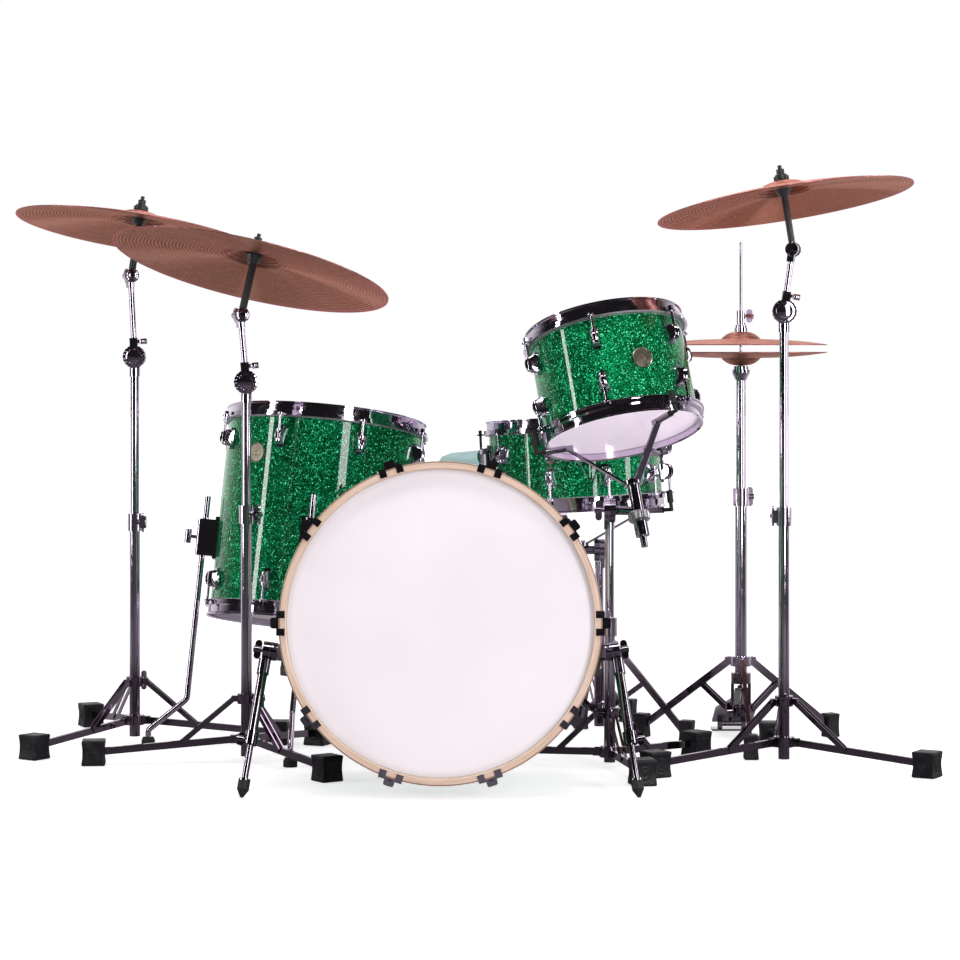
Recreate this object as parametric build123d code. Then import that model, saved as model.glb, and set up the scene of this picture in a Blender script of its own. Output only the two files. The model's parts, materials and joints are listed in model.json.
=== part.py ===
"""A four-drum acoustic kit with its cymbals, stands, pedals and seat.

The audience side faces -Y, +X is on the audience's right and +Z is up. Millimetres.
Each drum, stand and cymbal is modelled about its own axis and then stood in its place.
"""
from build123d import *
import math
import os

# ---------------------------------------------------------------- clearances
seat_gap = 0.1  # between turned pieces that fit in one another
body_gap = 0.3  # between pieces that move past one another
slide_gap = 0.4  # round a tube that slides in another tube

# ---------------------------------------------------------------- drum shells
bass_diameter = 559.0
bass_depth = 356.0
bass_wall = 8.0
floor_tom_diameter = 406.0
floor_tom_depth = 406.0
rack_tom_diameter = 305.0
rack_tom_depth = 203.0
snare_diameter = 356.0
snare_depth = 165.0
shell_wall = 6.5
edge_round = 1.5

# ---------------------------------------------------------------- heads and hoops
head_film = 0.8
head_collar = 1.0
flesh_width = 6.5
flesh_height = 10.0
flesh_drop = 6.0
hoop_sheet = 2.3
hoop_rise = 13.0
hoop_lip = 5.0
hoop_skirt = 8.0
hoop_flange = 5.0
hoop_ear = 8.0
rod_offset = 17.5
rod_radius = 3.0
rod_hole = 3.4
rod_head = 5.5
rod_head_height = 8.0
wood_hoop_face = 14.0
wood_hoop_width = 40.0
wood_hoop_rise = 18.0
wood_flesh_drop = 4.0

# ---------------------------------------------------------------- lugs and claws
lug_boss = 6.5
lug_boss_length = 26.0
lug_plate_width = 18.0
lug_plate_height = 46.0
lug_plate = 3.5
lug_web = 7.0
lug_edge_distance = 44.0
rod_in_lug = 16.0
bass_rod_offset = 23.5
bass_lug_distance = 72.0
claw_prong_width = 13.0
claw_prong_spacing = 32.0
claw_sheet = 3.5
claw_grip = 12.0
claw_reach = 24.0
claw_ear_width = 20.0
claw_ear_depth = 10.0
bass_lug_count = 10
floor_tom_lug_count = 8
rack_tom_lug_count = 6
snare_lug_count = 10
rack_tom_turn = -39.0

# ---------------------------------------------------------------- where the drums stand
bass_x = -72.0
bass_front_y = 0.0
bass_front_height = 320.0
bass_rear_lift = 4.0
floor_tom_x = -358.0
floor_tom_y = 760.0
floor_tom_height = 262.0
floor_tom_lean_x = 5.2
floor_tom_lean_y = 9.0
rack_tom_x = 281.0
rack_tom_y = 450.0
rack_tom_height = 661.0
rack_tom_lean_x = -10.0
rack_tom_lean_y = 18.0
snare_x = 204.0
snare_y = 818.0
snare_height = 496.0
snare_lean_x = -3.0
snare_lean_y = 2.0

# ---------------------------------------------------------------- bass drum spurs
spur_pivot_out = bass_diameter / 2 + 38.5
spur_pivot_drop = 62.0
spur_pivot_back = 112.0
spur_tip_out = bass_diameter / 2 + 76.5
spur_tip_forward = 108.0
spur_disc = 17.0
spur_disc_thickness = 13.0
spur_sleeve = 11.5
spur_sleeve_length = 46.0
spur_tube = 9.0
spur_tube_length = 205.0
spur_rod = 6.0
spur_collar = 12.5
spur_collar_length = 20.0
spur_tip_radius = 11.0
spur_tip_length = 36.0
spur_bracket_width = 46.0

# ---------------------------------------------------------------- floor tom legs
leg_offset = 28.0
leg_radius = 6.0
leg_bracket_width = 42.0
leg_bracket_height = 76.0
leg_bracket_wall = 9.0
leg_bracket_level = 108.0
leg_above_bracket = 48.0
leg_knee_height = 96.0
leg_foot_out = 80.0
leg_ankle_height = 32.0
leg_bend = 16.0
leg_tip_radius = 14.0
leg_tip_height = 24.0
leg_knob_radius = 7.0
leg_knob_length = 24.0
leg_directions = (180.0, 270.0, 45.0)

# ---------------------------------------------------------------- tripods
pole_outer = 11.0
pole_floor_gap = 14.0
pole_inner = 9.4
post_radius = 9.0
post_bore = 7.2
post_insert = 130.0
hub_radius = 20.0
hub_height = 20.0
hub_ear = 12.0
hub_ear_plate = 3.0
tripod_leg_width = 8.0
tripod_leg_height = 14.0
tripod_foot = 48.0
tripod_foot_height = 50.0
foot_leg_level = 26.0
brace_width = 10.0
brace_sheet = 2.5
brace_share = 0.44
clamp_wall = 4.0
clamp_height = 36.0
clamp_jaw = 9.0
wing_span = 40.0
wing_height = 13.0
wing_sheet = 4.0
wing_hub = 6.0
wing_shank = 4.0

# ---------------------------------------------------------------- cymbal stands
ride_stand_x = -462.0
ride_stand_y = 472.0
left_crash_stand_x = -718.0
left_crash_stand_y = 775.0
right_crash_stand_x = 597.0
right_crash_stand_y = 430.0
ride_phase = 185.0
left_crash_phase = 235.0
right_crash_phase = 89.5
cymbal_tripod_radius = 300.0
cymbal_hub_level = 48.0
cymbal_collar_level = 128.0
ride_clamp_level = 510.0
left_crash_clamp_level = 477.0
right_crash_clamp_level = 508.0
ride_ratchet_level = 754.0
left_crash_ratchet_level = 803.0
right_crash_ratchet_level = 893.0
ride_pivot_level = 887.0
left_crash_pivot_level = 972.0
right_crash_pivot_level = 1016.0
ride_boom_lean = -5.0
left_crash_boom_lean = -3.0
right_crash_boom_lean = 8.0
ratchet_radius = 23.0
ratchet_thickness = 11.0
boom_radius = 6.0
boom_block = 13.0
tilter_disc = 13.0
tilter_disc_thickness = 9.0
tilter_reach = 135.0
spindle_radius = 4.0
spindle_sleeve = 6.5
felt_radius = 17.0
felt_height = 9.0
cymbal_nut_radius = 8.0
cymbal_nut_height = 14.0
spindle_spare = 8.0
felt_play = 0.8
felt_slope = 4.0

# ---------------------------------------------------------------- cymbals
ride_diameter = 559.0
left_crash_diameter = 508.0
right_crash_diameter = 508.0
hihat_diameter = 356.0
cymbal_sheet = 1.6
cymbal_hole = 6.5
bell_share = 0.23
bell_height = 20.0
bow_height = 24.0
bow_swell = 4.5
hihat_bell_height = 15.0
hihat_bow_height = 11.0
hihat_bow_swell = 2.5
ride_lean_x = 12.0
ride_lean_y = 12.0
left_crash_lean_x = 8.0
left_crash_lean_y = 7.5
right_crash_lean_x = -8.4
right_crash_lean_y = 6.0

# ---------------------------------------------------------------- hi-hat stand
hihat_x = 541.0
hihat_y = 755.0
hihat_phase = 30.0
hihat_tripod_radius = 230.0
hihat_leg_level = 172.0
hihat_foot = 30.0
hihat_brace_share = 0.4
hihat_frame_level = 140.0
hihat_collar_level = 70.0
hihat_clamp_level = 530.0
hihat_seat_level = 776.0
hihat_seat_radius = 19.0
hihat_cup_height = 22.0
hihat_rod_radius = 3.0
hihat_rod_top = 1040.0
hihat_opening = 14.0
clutch_radius = 9.0
clutch_height = 44.0
hihat_post_outer = 10.0
hihat_post_bore = 6.0
hihat_pole_outer = 12.5
hihat_pole_inner = 10.4

# ---------------------------------------------------------------- hi-hat and kick footboards
footboard_width = 86.0
footboard_sheet = 6.0
footboard_rib = 7.0
hihat_board_length = 262.0
hihat_board_angle = 22.0
hihat_heel_level = 14.0
hihat_toe_width = 26.0
hihat_yoke_pin = 4.0
toe_margin = 12.0
hinge_barrel = 6.0
hinge_width = 40.0
hinge_pin = 3.0
tread_rib_count = 4
hihat_yoke_radius = 7.0
pedal_axle_behind = 58.0
pedal_axle_level = 196.0
pedal_axle_radius = 5.0
pedal_axle_length = 118.0
pedal_upright_spacing = 84.0
pedal_upright_width = 16.0
pedal_upright_depth = 26.0
pedal_plate_width = 96.0
pedal_plate_length = 372.0
pedal_plate = 4.0
pedal_board_length = 268.0
pedal_board_angle = 15.0
pedal_heel_level = 26.0
beater_arm = 158.0
beater_arm_radius = 3.5
beater_rest_angle = 42.0
beater_radius = 24.0
beater_length = 52.0
cam_radius = 26.0
cam_width = 14.0
spring_lever = 32.0
spring_offset = 24.0
spring_post_height = 38.0
strike_gap = 0.6
pedal_toe_width = 56.0

# ---------------------------------------------------------------- tom and snare stands
tom_stand_x = 254.0
tom_stand_y = 415.0
tom_phase = 42.0
tom_clamp_turn = 200.0
tom_tripod_radius = 245.0
tom_hub_level = 30.0
tom_collar_level = 107.0
tom_clamp_level = 293.0
tom_pivot_level = 503.0
snare_stand_x = 250.0
snare_stand_y = 815.0
snare_phase = 100.0
snare_clamp_turn = 150.0
snare_foot = 30.0
snare_brace_share = 0.52
snare_tripod_radius = 190.0
snare_collar_level = 70.0
snare_leg_level = 210.0
snare_clamp_level = 268.0
snare_pivot_level = 398.0
tom_basket_levels = (118.0, 84.0)  # how far the hub's arms lie under the hoop, and the hub's length
snare_basket_levels = (92.0, 78.0)
basket_hub_radius = 12.0
basket_nut_radius = 14.0
basket_nut_height = 32.0
basket_arm_width = 14.0
basket_arm_sheet = 4.0
basket_wire = 4.0
basket_rubber = 6.5
basket_inside = 36.0
basket_hook_rise = 40.0
basket_thread = 7.0
basket_thread_length = 22.0
basket_under = 14.0
basket_stub = 9.0
tom_basket_turn = 65.0
snare_basket_turn = 102.0

# ---------------------------------------------------------------- snare strainer
strainer_width = 34.0
strainer_height = 62.0
strainer_depth = 15.0
strainer_direction = 198.0
lever_width = 12.0
lever_length = 58.0
lever_sheet = 5.0
wire_count = 20
wire_band_width = 42.0
wire_band_sheet = 1.6

# ---------------------------------------------------------------- throne
throne_x = 67.0
throne_y = 1240.0
throne_phase = -24.0
throne_tripod_radius = 283.0
throne_leg_level = 320.0
throne_collar_level = 120.0
throne_seat_top = 592.0
throne_seat_radius = 165.0
throne_seat_height = 82.0
throne_plate = 6.0
throne_foot = 34.0
throne_clamp_level = 400.0
throne_pole_outer = 15.0
throne_pole_inner = 12.9
throne_post_radius = 12.5

ON_BASE = (Align.CENTER, Align.CENTER, Align.MIN)


# ================================================================ general shapes
def frame(origin, z_axis, x_axis=None):
    """The location of a piece whose own Z runs along z_axis."""
    return Plane(origin=origin, x_dir=x_axis, z_dir=z_axis).location


def upright(radius, low, high, bore=0.0):
    """A round bar about Z between two heights, or a tube where it has a bore."""
    bar = Pos(0, 0, low) * Cylinder(radius, high - low, align=ON_BASE)
    if bore:
        bar -= Pos(0, 0, low) * Cylinder(bore, high - low, align=ON_BASE)
    return bar


def bar(start, end, radius, bore=0.0):
    """A round bar between two points."""
    along = Vector(*end) - Vector(*start)
    return frame(start, along) * upright(radius, 0, along.length, bore)


def strap(start, end, width, thickness, flat_to):
    """A flat bar between two points, whose flat side faces flat_to."""
    along = Vector(*end) - Vector(*start)
    face = Plane(origin=start, x_dir=along, z_dir=Vector(*flat_to) - along * (
        Vector(*flat_to).dot(along) / along.dot(along)))
    return face.location * Box(
        along.length, width, thickness, align=(Align.MIN, Align.CENTER, Align.CENTER))


def turned(points):
    """A solid turned about Z from the outline given as (radius, height) points."""
    outline = Polyline(*[(r, 0, z) for r, z in points], close=True)
    return revolve(make_face(outline), axis=Axis.Z)


def around(count, start=0.0):
    """Turns about Z that share out count places, in degrees."""
    return [Rot(0, 0, start + 360.0 * k / count) for k in range(count)]


def moved(location, nodes):
    """The same nodes with every solid moved by a location."""
    return {name: [location * solid for solid in solids] for name, solids in nodes.items()}


def wing_screw(length, span=wing_span):
    """A screw along +Z from its seat at Z 0, with two rounded wings on its head."""
    wings = extrude(SlotOverall(span, wing_height), wing_sheet / 2, both=True)
    head_level = length + wing_height / 2 - 2
    wings = Pos(0, 0, head_level) * Rot(90, 0, 0) * wings
    return upright(wing_shank, 0, length + 1) + upright(wing_hub, length, length + wing_height) + wings


def tube_clamp(outer, inner, top, turn=0.0):
    """A split collar on the end of a lower tube, with its jaw and wing screw."""
    body = outer + clamp_wall
    reach = body + clamp_jaw
    low = top - clamp_height
    middle = top - clamp_height / 2
    jaw = Pos(0, 0, middle) * Box(
        reach, 2 * clamp_jaw, clamp_height * 0.7, align=(Align.MIN, Align.CENTER, Align.CENTER))
    split = Pos(0, 0, middle) * Box(
        reach + 1, 2.0, clamp_height + 1, align=(Align.MIN, Align.CENTER, Align.CENTER))
    collar = upright(body, low, top) + jaw - split
    collar -= upright(outer + seat_gap, low, middle + seat_gap)
    collar -= upright(inner, middle, top)
    seat = frame((body + clamp_jaw / 2, -clamp_jaw, middle), (0, -1, 0), (0, 0, 1))
    return [Rot(0, 0, turn) * collar, Rot(0, 0, turn) * seat * wing_screw(7.0)]


def half_joint(radius, thickness, reach, shank):
    """One half of a toothed disc joint: Z is the hinge axis and the shank runs along X."""
    disc = upright(radius, body_gap / 2, thickness)
    cheek = Pos(0, 0, body_gap / 2) * Box(
        reach, 2 * shank * 0.9, thickness - body_gap / 2, align=(Align.MIN, Align.CENTER, Align.MIN))
    stem = frame((radius + body_gap, 0, 0), (1, 0, 0)) * upright(shank, 0, reach - radius - body_gap)
    return disc + cheek + stem


# ================================================================ drums
# A drum stands on Z: its lower bearing edge is at Z 0 and its upper one at its depth.
def shell(radius, depth, wall):
    """A shell with a rounded outside and a 45 degree inside at both bearing edges."""
    bevel = wall - edge_round
    return turned([
        (radius - edge_round, 0), (radius, edge_round), (radius, depth - edge_round),
        (radius - edge_round, depth), (radius - wall, depth - bevel), (radius - wall, bevel)])


def head(radius, drop):
    """A head over a bearing edge at Z 0: its film, collar and flesh hoop."""
    inner = radius + body_gap
    collar = inner + head_collar
    flesh = collar + flesh_width
    return turned([
        (0, 0), (inner, 0), (inner, -drop - flesh_height), (flesh, -drop - flesh_height),
        (flesh, -drop), (collar, -drop), (collar, head_film), (0, head_film)])


def flanged_hoop(radius, count, start):
    """A pressed hoop with three flanges over a bearing edge at Z 0, and its rod ears."""
    wall = radius + body_gap + head_collar + body_gap
    skirt = radius + body_gap + head_collar + flesh_width + body_gap
    low = -flesh_drop - hoop_skirt
    ring = turned([
        (wall, -flesh_drop), (wall, hoop_rise), (wall + hoop_lip, hoop_rise + hoop_sheet),
        (wall + hoop_lip, hoop_rise), (wall + hoop_sheet, hoop_rise - hoop_sheet),
        (wall + hoop_sheet, hoop_sheet - flesh_drop), (skirt + hoop_sheet, hoop_sheet - flesh_drop),
        (skirt + hoop_sheet, low + hoop_sheet), (skirt + hoop_flange, low + hoop_sheet),
        (skirt + hoop_flange, low), (skirt, low), (skirt, -flesh_drop)])
    ear = Pos(radius + rod_offset, 0, low) * (
        Cylinder(hoop_ear, hoop_sheet, align=ON_BASE)
        - Cylinder(rod_hole, hoop_sheet, align=ON_BASE))
    ear -= upright(skirt + hoop_sheet, low, low + hoop_sheet)
    for turn in around(count, start):
        ring += turn * ear
    return ring


def lug(radius, offset, boss_level):
    """A cast lug on a shell at +X: its plate, web and the boss that takes the rod from above."""
    boss = upright(lug_boss, boss_level - lug_boss_length, boss_level)
    middle = boss_level - lug_boss_length / 2
    plate = Pos(radius, 0, middle) * Rot(0, 90, 0) * extrude(
        SlotOverall(lug_plate_height, lug_plate_width), lug_plate + 2, both=True)
    web = Pos(radius - 2, 0, middle) * Box(
        offset + 2, lug_web, lug_boss_length * 0.7, align=(Align.MIN, Align.CENTER, Align.CENTER))
    body = Pos(radius + offset, 0, 0) * boss + web + plate
    body -= upright(radius, middle - lug_plate_height, middle + lug_plate_height)
    return body - Pos(radius + offset, 0, 0) * upright(rod_hole, boss_level - rod_in_lug - 1, boss_level + 1)


def tension_rod(radius, offset, head_level, boss_level):
    """A tension rod at +X, whose head rests on head_level and whose end is in the lug."""
    rod = upright(rod_radius, boss_level - rod_in_lug, head_level)
    washer = upright(rod_head + 0.5, head_level, head_level + 1.5)
    square = Pos(0, 0, head_level + 1.5) * Box(
        rod_head * 1.3, rod_head * 1.3, rod_head_height, align=ON_BASE)
    return Pos(radius + offset, 0, 0) * (rod + washer + square)


def tom(name, diameter, depth, count, start):
    """The nodes of a tom or snare with pressed hoops on both ends."""
    radius = diameter / 2
    upper = Pos(0, 0, depth)
    boss_level = -lug_edge_distance
    seat = -flesh_drop - hoop_skirt + hoop_sheet
    fitting = [
        lug(radius, rod_offset, boss_level),
        tension_rod(radius, rod_offset, seat, boss_level)]
    hoop = flanged_hoop(radius, count, start)
    skin = head(radius, flesh_drop)
    lugs = []
    for turn in around(count, start):
        for piece in fitting:
            lugs.append(turn * upper * piece)
            lugs.append(turn * Rot(180, 0, 0) * piece)
    return {
        f"{name}_shell": [shell(radius, depth, shell_wall)],
        f"{name}_hoops": [upper * hoop, mirrored_down(hoop)],
        f"{name}_heads": [upper * skin, mirrored_down(skin)],
        f"{name}_lugs": lugs}


def mirrored_down(piece):
    """The same piece below Z 0, as a drum's lower end has it."""
    return mirror(piece, Plane.XY)


def leaning(x, y, height, lean_x, lean_y):
    """Where a drum or cymbal stands, whose axis leans towards +X and +Y by two angles."""
    axis = Vector(math.tan(math.radians(lean_x)), math.tan(math.radians(lean_y)), 1)
    return frame((x, y, height), axis, Vector(1, 0, -axis.X))


# ---------------------------------------------------------------- bass drum
def wood_hoop(radius):
    """A bass drum hoop over a bearing edge at Z 0, rebated for the flesh hoop."""
    inner = radius + body_gap + head_collar + body_gap
    rebate = radius + body_gap + head_collar + flesh_width + body_gap
    outer = inner + wood_hoop_face
    low = wood_hoop_rise - wood_hoop_width
    return turned([
        (inner, wood_hoop_rise - 2), (inner + 2, wood_hoop_rise), (outer - 2, wood_hoop_rise),
        (outer, wood_hoop_rise - 2), (outer, low), (rebate, low), (rebate, -wood_flesh_drop),
        (inner, -wood_flesh_drop)])


def claw(radius):
    """A claw at +X that hooks over the front of a wood hoop with two prongs."""
    inner = radius + 2 * body_gap + head_collar
    outer = inner + wood_hoop_face + seat_gap
    front = wood_hoop_rise + seat_gap
    hook = Pos(outer, 0, 0)
    body = hook * Pos(0, 0, front + claw_sheet - claw_reach) * Box(
        claw_sheet, claw_prong_spacing + claw_prong_width, claw_ear_depth,
        align=(Align.MIN, Align.CENTER, Align.MIN))
    for side in (-1, 1):
        over = Pos(outer, side * claw_prong_spacing / 2, front + claw_sheet) * Box(
            claw_sheet, claw_prong_width, claw_reach, align=(Align.MIN, Align.CENTER, Align.MAX))
        down = Pos(outer + claw_sheet, side * claw_prong_spacing / 2, front) * Box(
            claw_grip + claw_sheet, claw_prong_width, claw_sheet,
            align=(Align.MAX, Align.CENTER, Align.MIN))
        body += over
        body += down
    ear_level = front + claw_sheet - claw_reach
    ear_reach = radius + bass_rod_offset + rod_head + 2 - outer
    ear = Pos(outer, 0, ear_level) * Box(
        ear_reach, claw_ear_width, claw_ear_depth, align=(Align.MIN, Align.CENTER, Align.MIN))
    ear = fillet(ear.edges().filter_by(Axis.Z).sort_by(Axis.X)[-2:], 4)
    hole = Pos(radius + bass_rod_offset, 0, 0) * upright(rod_hole, ear_level - 1, ear_level + claw_ear_depth + 1)
    return body + ear - hole


def bass_drum():
    """The bass drum lying on Z, its rear bearing edge at Z 0 and its front one at its depth."""
    radius = bass_diameter / 2
    ear_level = wood_hoop_rise + seat_gap + claw_sheet - claw_reach
    fitting = [
        claw(radius),
        lug(radius, bass_rod_offset, -bass_lug_distance),
        tension_rod(radius, bass_rod_offset, ear_level + claw_ear_depth, -bass_lug_distance)]
    upper = Pos(0, 0, bass_depth)
    hoop = wood_hoop(radius)
    skin = head(radius, wood_flesh_drop)
    hardware = []
    for turn in around(bass_lug_count, 90 + 180 / bass_lug_count):
        for piece in fitting:
            hardware.append(turn * upper * piece)
            hardware.append(turn * Rot(180, 0, 0) * piece)
    return {
        "bass_shell": [shell(radius, bass_depth, bass_wall)],
        "bass_hoops": [upper * hoop, mirrored_down(hoop)],
        "bass_heads": [upper * skin, mirrored_down(skin)],
        "bass_lugs_and_claws": hardware}


bass_length = bass_depth + 2 * wood_hoop_rise
bass_hoop_radius = bass_diameter / 2 + 2 * body_gap + head_collar + wood_hoop_face
bass_tilt = math.asin((bass_front_height - bass_hoop_radius - bass_rear_lift) / bass_length)
bass_axis = Vector(0, -math.cos(bass_tilt), math.sin(bass_tilt))
bass_rear_y = bass_front_y + bass_length * math.cos(bass_tilt)
bass_rear_height = bass_front_height - bass_length * math.sin(bass_tilt)
bass_place = frame(
    Vector(bass_x, bass_rear_y, bass_rear_height) + bass_axis * wood_hoop_rise, bass_axis, (1, 0, 0))


def spur_frame(side):
    """A spur's pivot: Z points outward along the hinge and X along the leg, down to its tip."""
    pivot = Vector(
        bass_x + side * spur_pivot_out, bass_front_y + spur_pivot_back, bass_front_height - spur_pivot_drop)
    tip = Vector(bass_x + side * spur_tip_out, pivot.Y - spur_tip_forward, 0)
    leg = tip - pivot
    hinge = leg.cross(Vector(0, 1, 0)).normalized() * side
    return Plane(origin=pivot, x_dir=leg, z_dir=hinge), leg.length


def spur(side):
    """A spur leg on its ratchet disc, with its sleeve, tubes, collar and rubber tip."""
    plane, length = spur_frame(side)
    axis_level = spur_disc_thickness / 2 + body_gap / 2
    disc = upright(spur_disc, body_gap / 2, spur_disc_thickness)
    along = frame((0, 0, axis_level), (1, 0, 0))
    cheek = Pos(0, 0, body_gap / 2) * Box(
        spur_disc + 8, 2 * spur_tube, spur_disc_thickness - body_gap / 2,
        align=(Align.MIN, Align.CENTER, Align.MIN))
    sleeve = along * upright(spur_sleeve, spur_disc + body_gap, spur_sleeve_length)
    tube_end = spur_sleeve_length + spur_tube_length - 90
    tip_start = length - spur_tip_length
    knuckle = disc + cheek + sleeve - along * upright(spur_tube + seat_gap, spur_disc + 4, length)
    tube = along * upright(spur_tube, spur_disc + 4 + seat_gap, tube_end, spur_rod + seat_gap)
    collar = along * upright(spur_collar, tube_end - 4, tube_end + spur_collar_length, spur_rod + seat_gap)
    collar -= along * upright(spur_tube + seat_gap, 0, tube_end + seat_gap)
    collar_screw = frame((tube_end + spur_collar_length * 0.6, 0, axis_level + spur_collar - 1), (0, 0, 1))
    collar_screw = collar_screw * wing_screw(3.0, wing_span * 0.6)
    collar -= collar_screw
    rod = along * upright(spur_rod, tube_end - 60, tip_start + 10)
    tip = along * turned([
        (0, tip_start + 10 + seat_gap), (spur_rod + seat_gap, tip_start + 10 + seat_gap),
        (spur_rod + seat_gap, tip_start), (spur_tip_radius, tip_start),
        (spur_tip_radius, tip_start + spur_tip_length * 0.55), (3, length - 2), (0, length - 2)])
    bolt = Pos(0, 0, spur_disc_thickness) * wing_screw(5.0, wing_span * 0.9)
    pieces = [knuckle, tube, collar, rod, tip, bolt, collar_screw]
    return [plane.location * piece for piece in pieces]


def spur_bracket(side):
    """The cast bracket that carries a spur's ratchet disc on the shell."""
    plane, length = spur_frame(side)
    disc = upright(spur_disc, -spur_disc_thickness, -body_gap / 2)
    neck = Pos(0, 0, -body_gap / 2 - 4) * Box(
        spur_disc * 1.5, spur_disc * 1.3, 60, align=(Align.CENTER, Align.CENTER, Align.MAX))
    plate = Pos(0, 0, -spur_disc_thickness - 12) * Box(
        spur_bracket_width * 1.6, spur_bracket_width, 40, align=(Align.CENTER, Align.CENTER, Align.MAX))
    casting = plane.location * (disc + neck + plate)
    hollow = bass_place * upright(bass_diameter / 2, 0, bass_depth)
    return (casting - hollow).solids().sort_by(SortBy.VOLUME)[-1:]


# ---------------------------------------------------------------- floor tom legs
floor_tom_place = leaning(
    floor_tom_x, floor_tom_y, floor_tom_height, floor_tom_lean_x, floor_tom_lean_y)


def leg_bracket(direction):
    """A block on the shell that clamps one leg, with its T screw."""
    radius = floor_tom_diameter / 2
    level = leg_bracket_level
    reach = leg_offset + leg_radius + leg_bracket_wall
    block = Pos(radius - 2, 0, level) * Box(
        reach + 2, leg_bracket_width * 0.55, leg_bracket_height, align=(Align.MIN, Align.CENTER, Align.MIN))
    plate = Pos(radius - 2, 0, level - 6) * Box(
        6 + 2, leg_bracket_width, leg_bracket_height + 12, align=(Align.MIN, Align.CENTER, Align.MIN))
    block = fillet(block.edges().filter_by(Axis.Z).sort_by(Axis.X)[-2:], 6)
    block = block + plate - upright(radius, level - 10, level + leg_bracket_height + 10)
    block -= Pos(radius + leg_offset, 0, 0) * upright(
        leg_radius + slide_gap, level - 1, level + leg_bracket_height + 1)
    screw = frame(
        (radius + reach, 0, level + leg_bracket_height / 2), (1, 0, 0), (0, 0, 1)) * (
        upright(wing_shank, 0, leg_knob_length * 0.6)
        + Pos(0, 0, leg_knob_length * 0.6 + leg_knob_radius / 2) * Rot(0, 90, 0)
        * Cylinder(leg_knob_radius, leg_knob_length * 1.2))
    return [Rot(0, 0, direction) * block, Rot(0, 0, direction) * screw]


def floor_tom_leg(direction):
    """A leg that bends out below the drum and stands upright on its rubber tip."""
    outward = Rot(0, 0, direction)
    top_level = leg_bracket_level + leg_bracket_height + leg_above_bracket
    radius = floor_tom_diameter / 2 + leg_offset
    top = (floor_tom_place * outward * Pos(radius, 0, top_level)).position
    axis = Plane(floor_tom_place).z_dir
    knee = top - axis * ((top.Z - leg_knee_height) / axis.Z)
    away = (floor_tom_place * outward * Pos(radius + leg_foot_out, 0, top_level)).position - top
    away = Vector(away.X, away.Y, 0).normalized() * leg_foot_out
    ankle = Vector(knee.X + away.X, knee.Y + away.Y, leg_ankle_height)
    foot = Vector(ankle.X, ankle.Y, 4.0)
    path = FilletPolyline(top, knee, ankle, foot, radius=[leg_bend, leg_bend * 0.6])
    section = Plane(origin=top, z_dir=axis * -1) * Circle(leg_radius)
    rod = sweep(section, path=path)
    socket = leg_radius + seat_gap
    tip = Pos(foot.X, foot.Y, 0) * turned([
        (0, 0), (leg_tip_radius, 0), (leg_tip_radius, leg_tip_height * 0.5),
        (leg_tip_radius * 0.75, leg_tip_height * 0.8), (socket, leg_tip_height * 0.8),
        (socket, foot.Z - seat_gap), (0, foot.Z - seat_gap)])
    return [rod, tip]


# ================================================================ stands
def tripod(tube, levels, radius, phase, turn, foot=None, share=None):
    """A stand's lower tube, hub, legs, paired braces, sliding collar and clamp, and its feet.

    tube is (outer, inner) radius, levels is (tube bottom, tube top, leg, collar).
    """
    outer, inner = tube
    low, high, leg_level, collar_level = levels
    foot = foot or tripod_foot
    share = share or brace_share
    body = hub_radius + outer - pole_outer
    block = tripod_leg_width / 2 + body_gap
    hub = upright(body, leg_level - hub_height / 2, leg_level + hub_height / 2)
    collar = upright(body - 2, collar_level - hub_height / 2, collar_level + hub_height / 2)
    cheek = Pos(body - 3, block, leg_level) * Box(
        hub_ear + 3, hub_ear_plate, hub_height * 0.8, align=(Align.MIN, Align.MIN, Align.CENTER))
    tongue = Pos(body - 5, 0, collar_level) * Box(
        hub_ear + 3, 2 * block, hub_height * 0.6, align=(Align.MIN, Align.CENTER, Align.CENTER))
    inside = radius - foot * 0.2
    low_end = foot_leg_level
    slope = math.atan2(leg_level - low_end, inside - body)
    inner_end = body + body_gap + tripod_leg_height / 2 * abs(math.sin(slope))
    leg = strap(
        (inner_end, 0, leg_level), (inside, 0, low_end), tripod_leg_height, tripod_leg_width, (0, 1, 0))
    socket = strap(
        (inner_end, 0, leg_level), (inside + seat_gap, 0, low_end),
        tripod_leg_height + 2 * seat_gap, tripod_leg_width + 2 * seat_gap, (0, 1, 0))
    block_foot = Pos(radius, 0, 0) * Box(foot, foot, tripod_foot_height, align=ON_BASE)
    block_foot = fillet(block_foot.edges().filter_by(Axis.Z), foot / 8) - socket
    meet = share * radius
    meet_level = leg_level + (low_end - leg_level) * (meet - inner_end) / (inside - inner_end)
    across = block + brace_sheet / 2
    braces = [
        strap(
            (body + hub_ear - 7, side * across, collar_level), (meet, side * across, meet_level),
            brace_width, brace_sheet, (0, 1, 0))
        for side in (-1, 1)]
    metal = []
    feet = []
    for place in around(3, phase):
        hub += place * cheek
        hub += place * mirror(cheek, Plane.XZ)
        collar += place * tongue
        metal += [place * piece for piece in (leg, *braces)]
        feet.append(place * block_foot)
    bore = upright(outer + seat_gap, 0, high)
    screw = frame((body - 2, 0, collar_level), (1, 0, 0), (0, 0, 1)) * wing_screw(6.0)
    pole = upright(outer, low, high - clamp_height / 2, inner)
    clamp = tube_clamp(outer, inner, high, turn)
    return [pole, hub - bore, collar - bore, Rot(0, 0, phase + 180) * screw, *metal, *clamp], feet


# ---------------------------------------------------------------- cymbal stands
def lean_axis(lean_x, lean_y):
    """The direction of a cymbal's spindle, which leans by two angles."""
    return Vector(math.tan(math.radians(lean_x)), math.tan(math.radians(lean_y)), 1).normalized()


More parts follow.
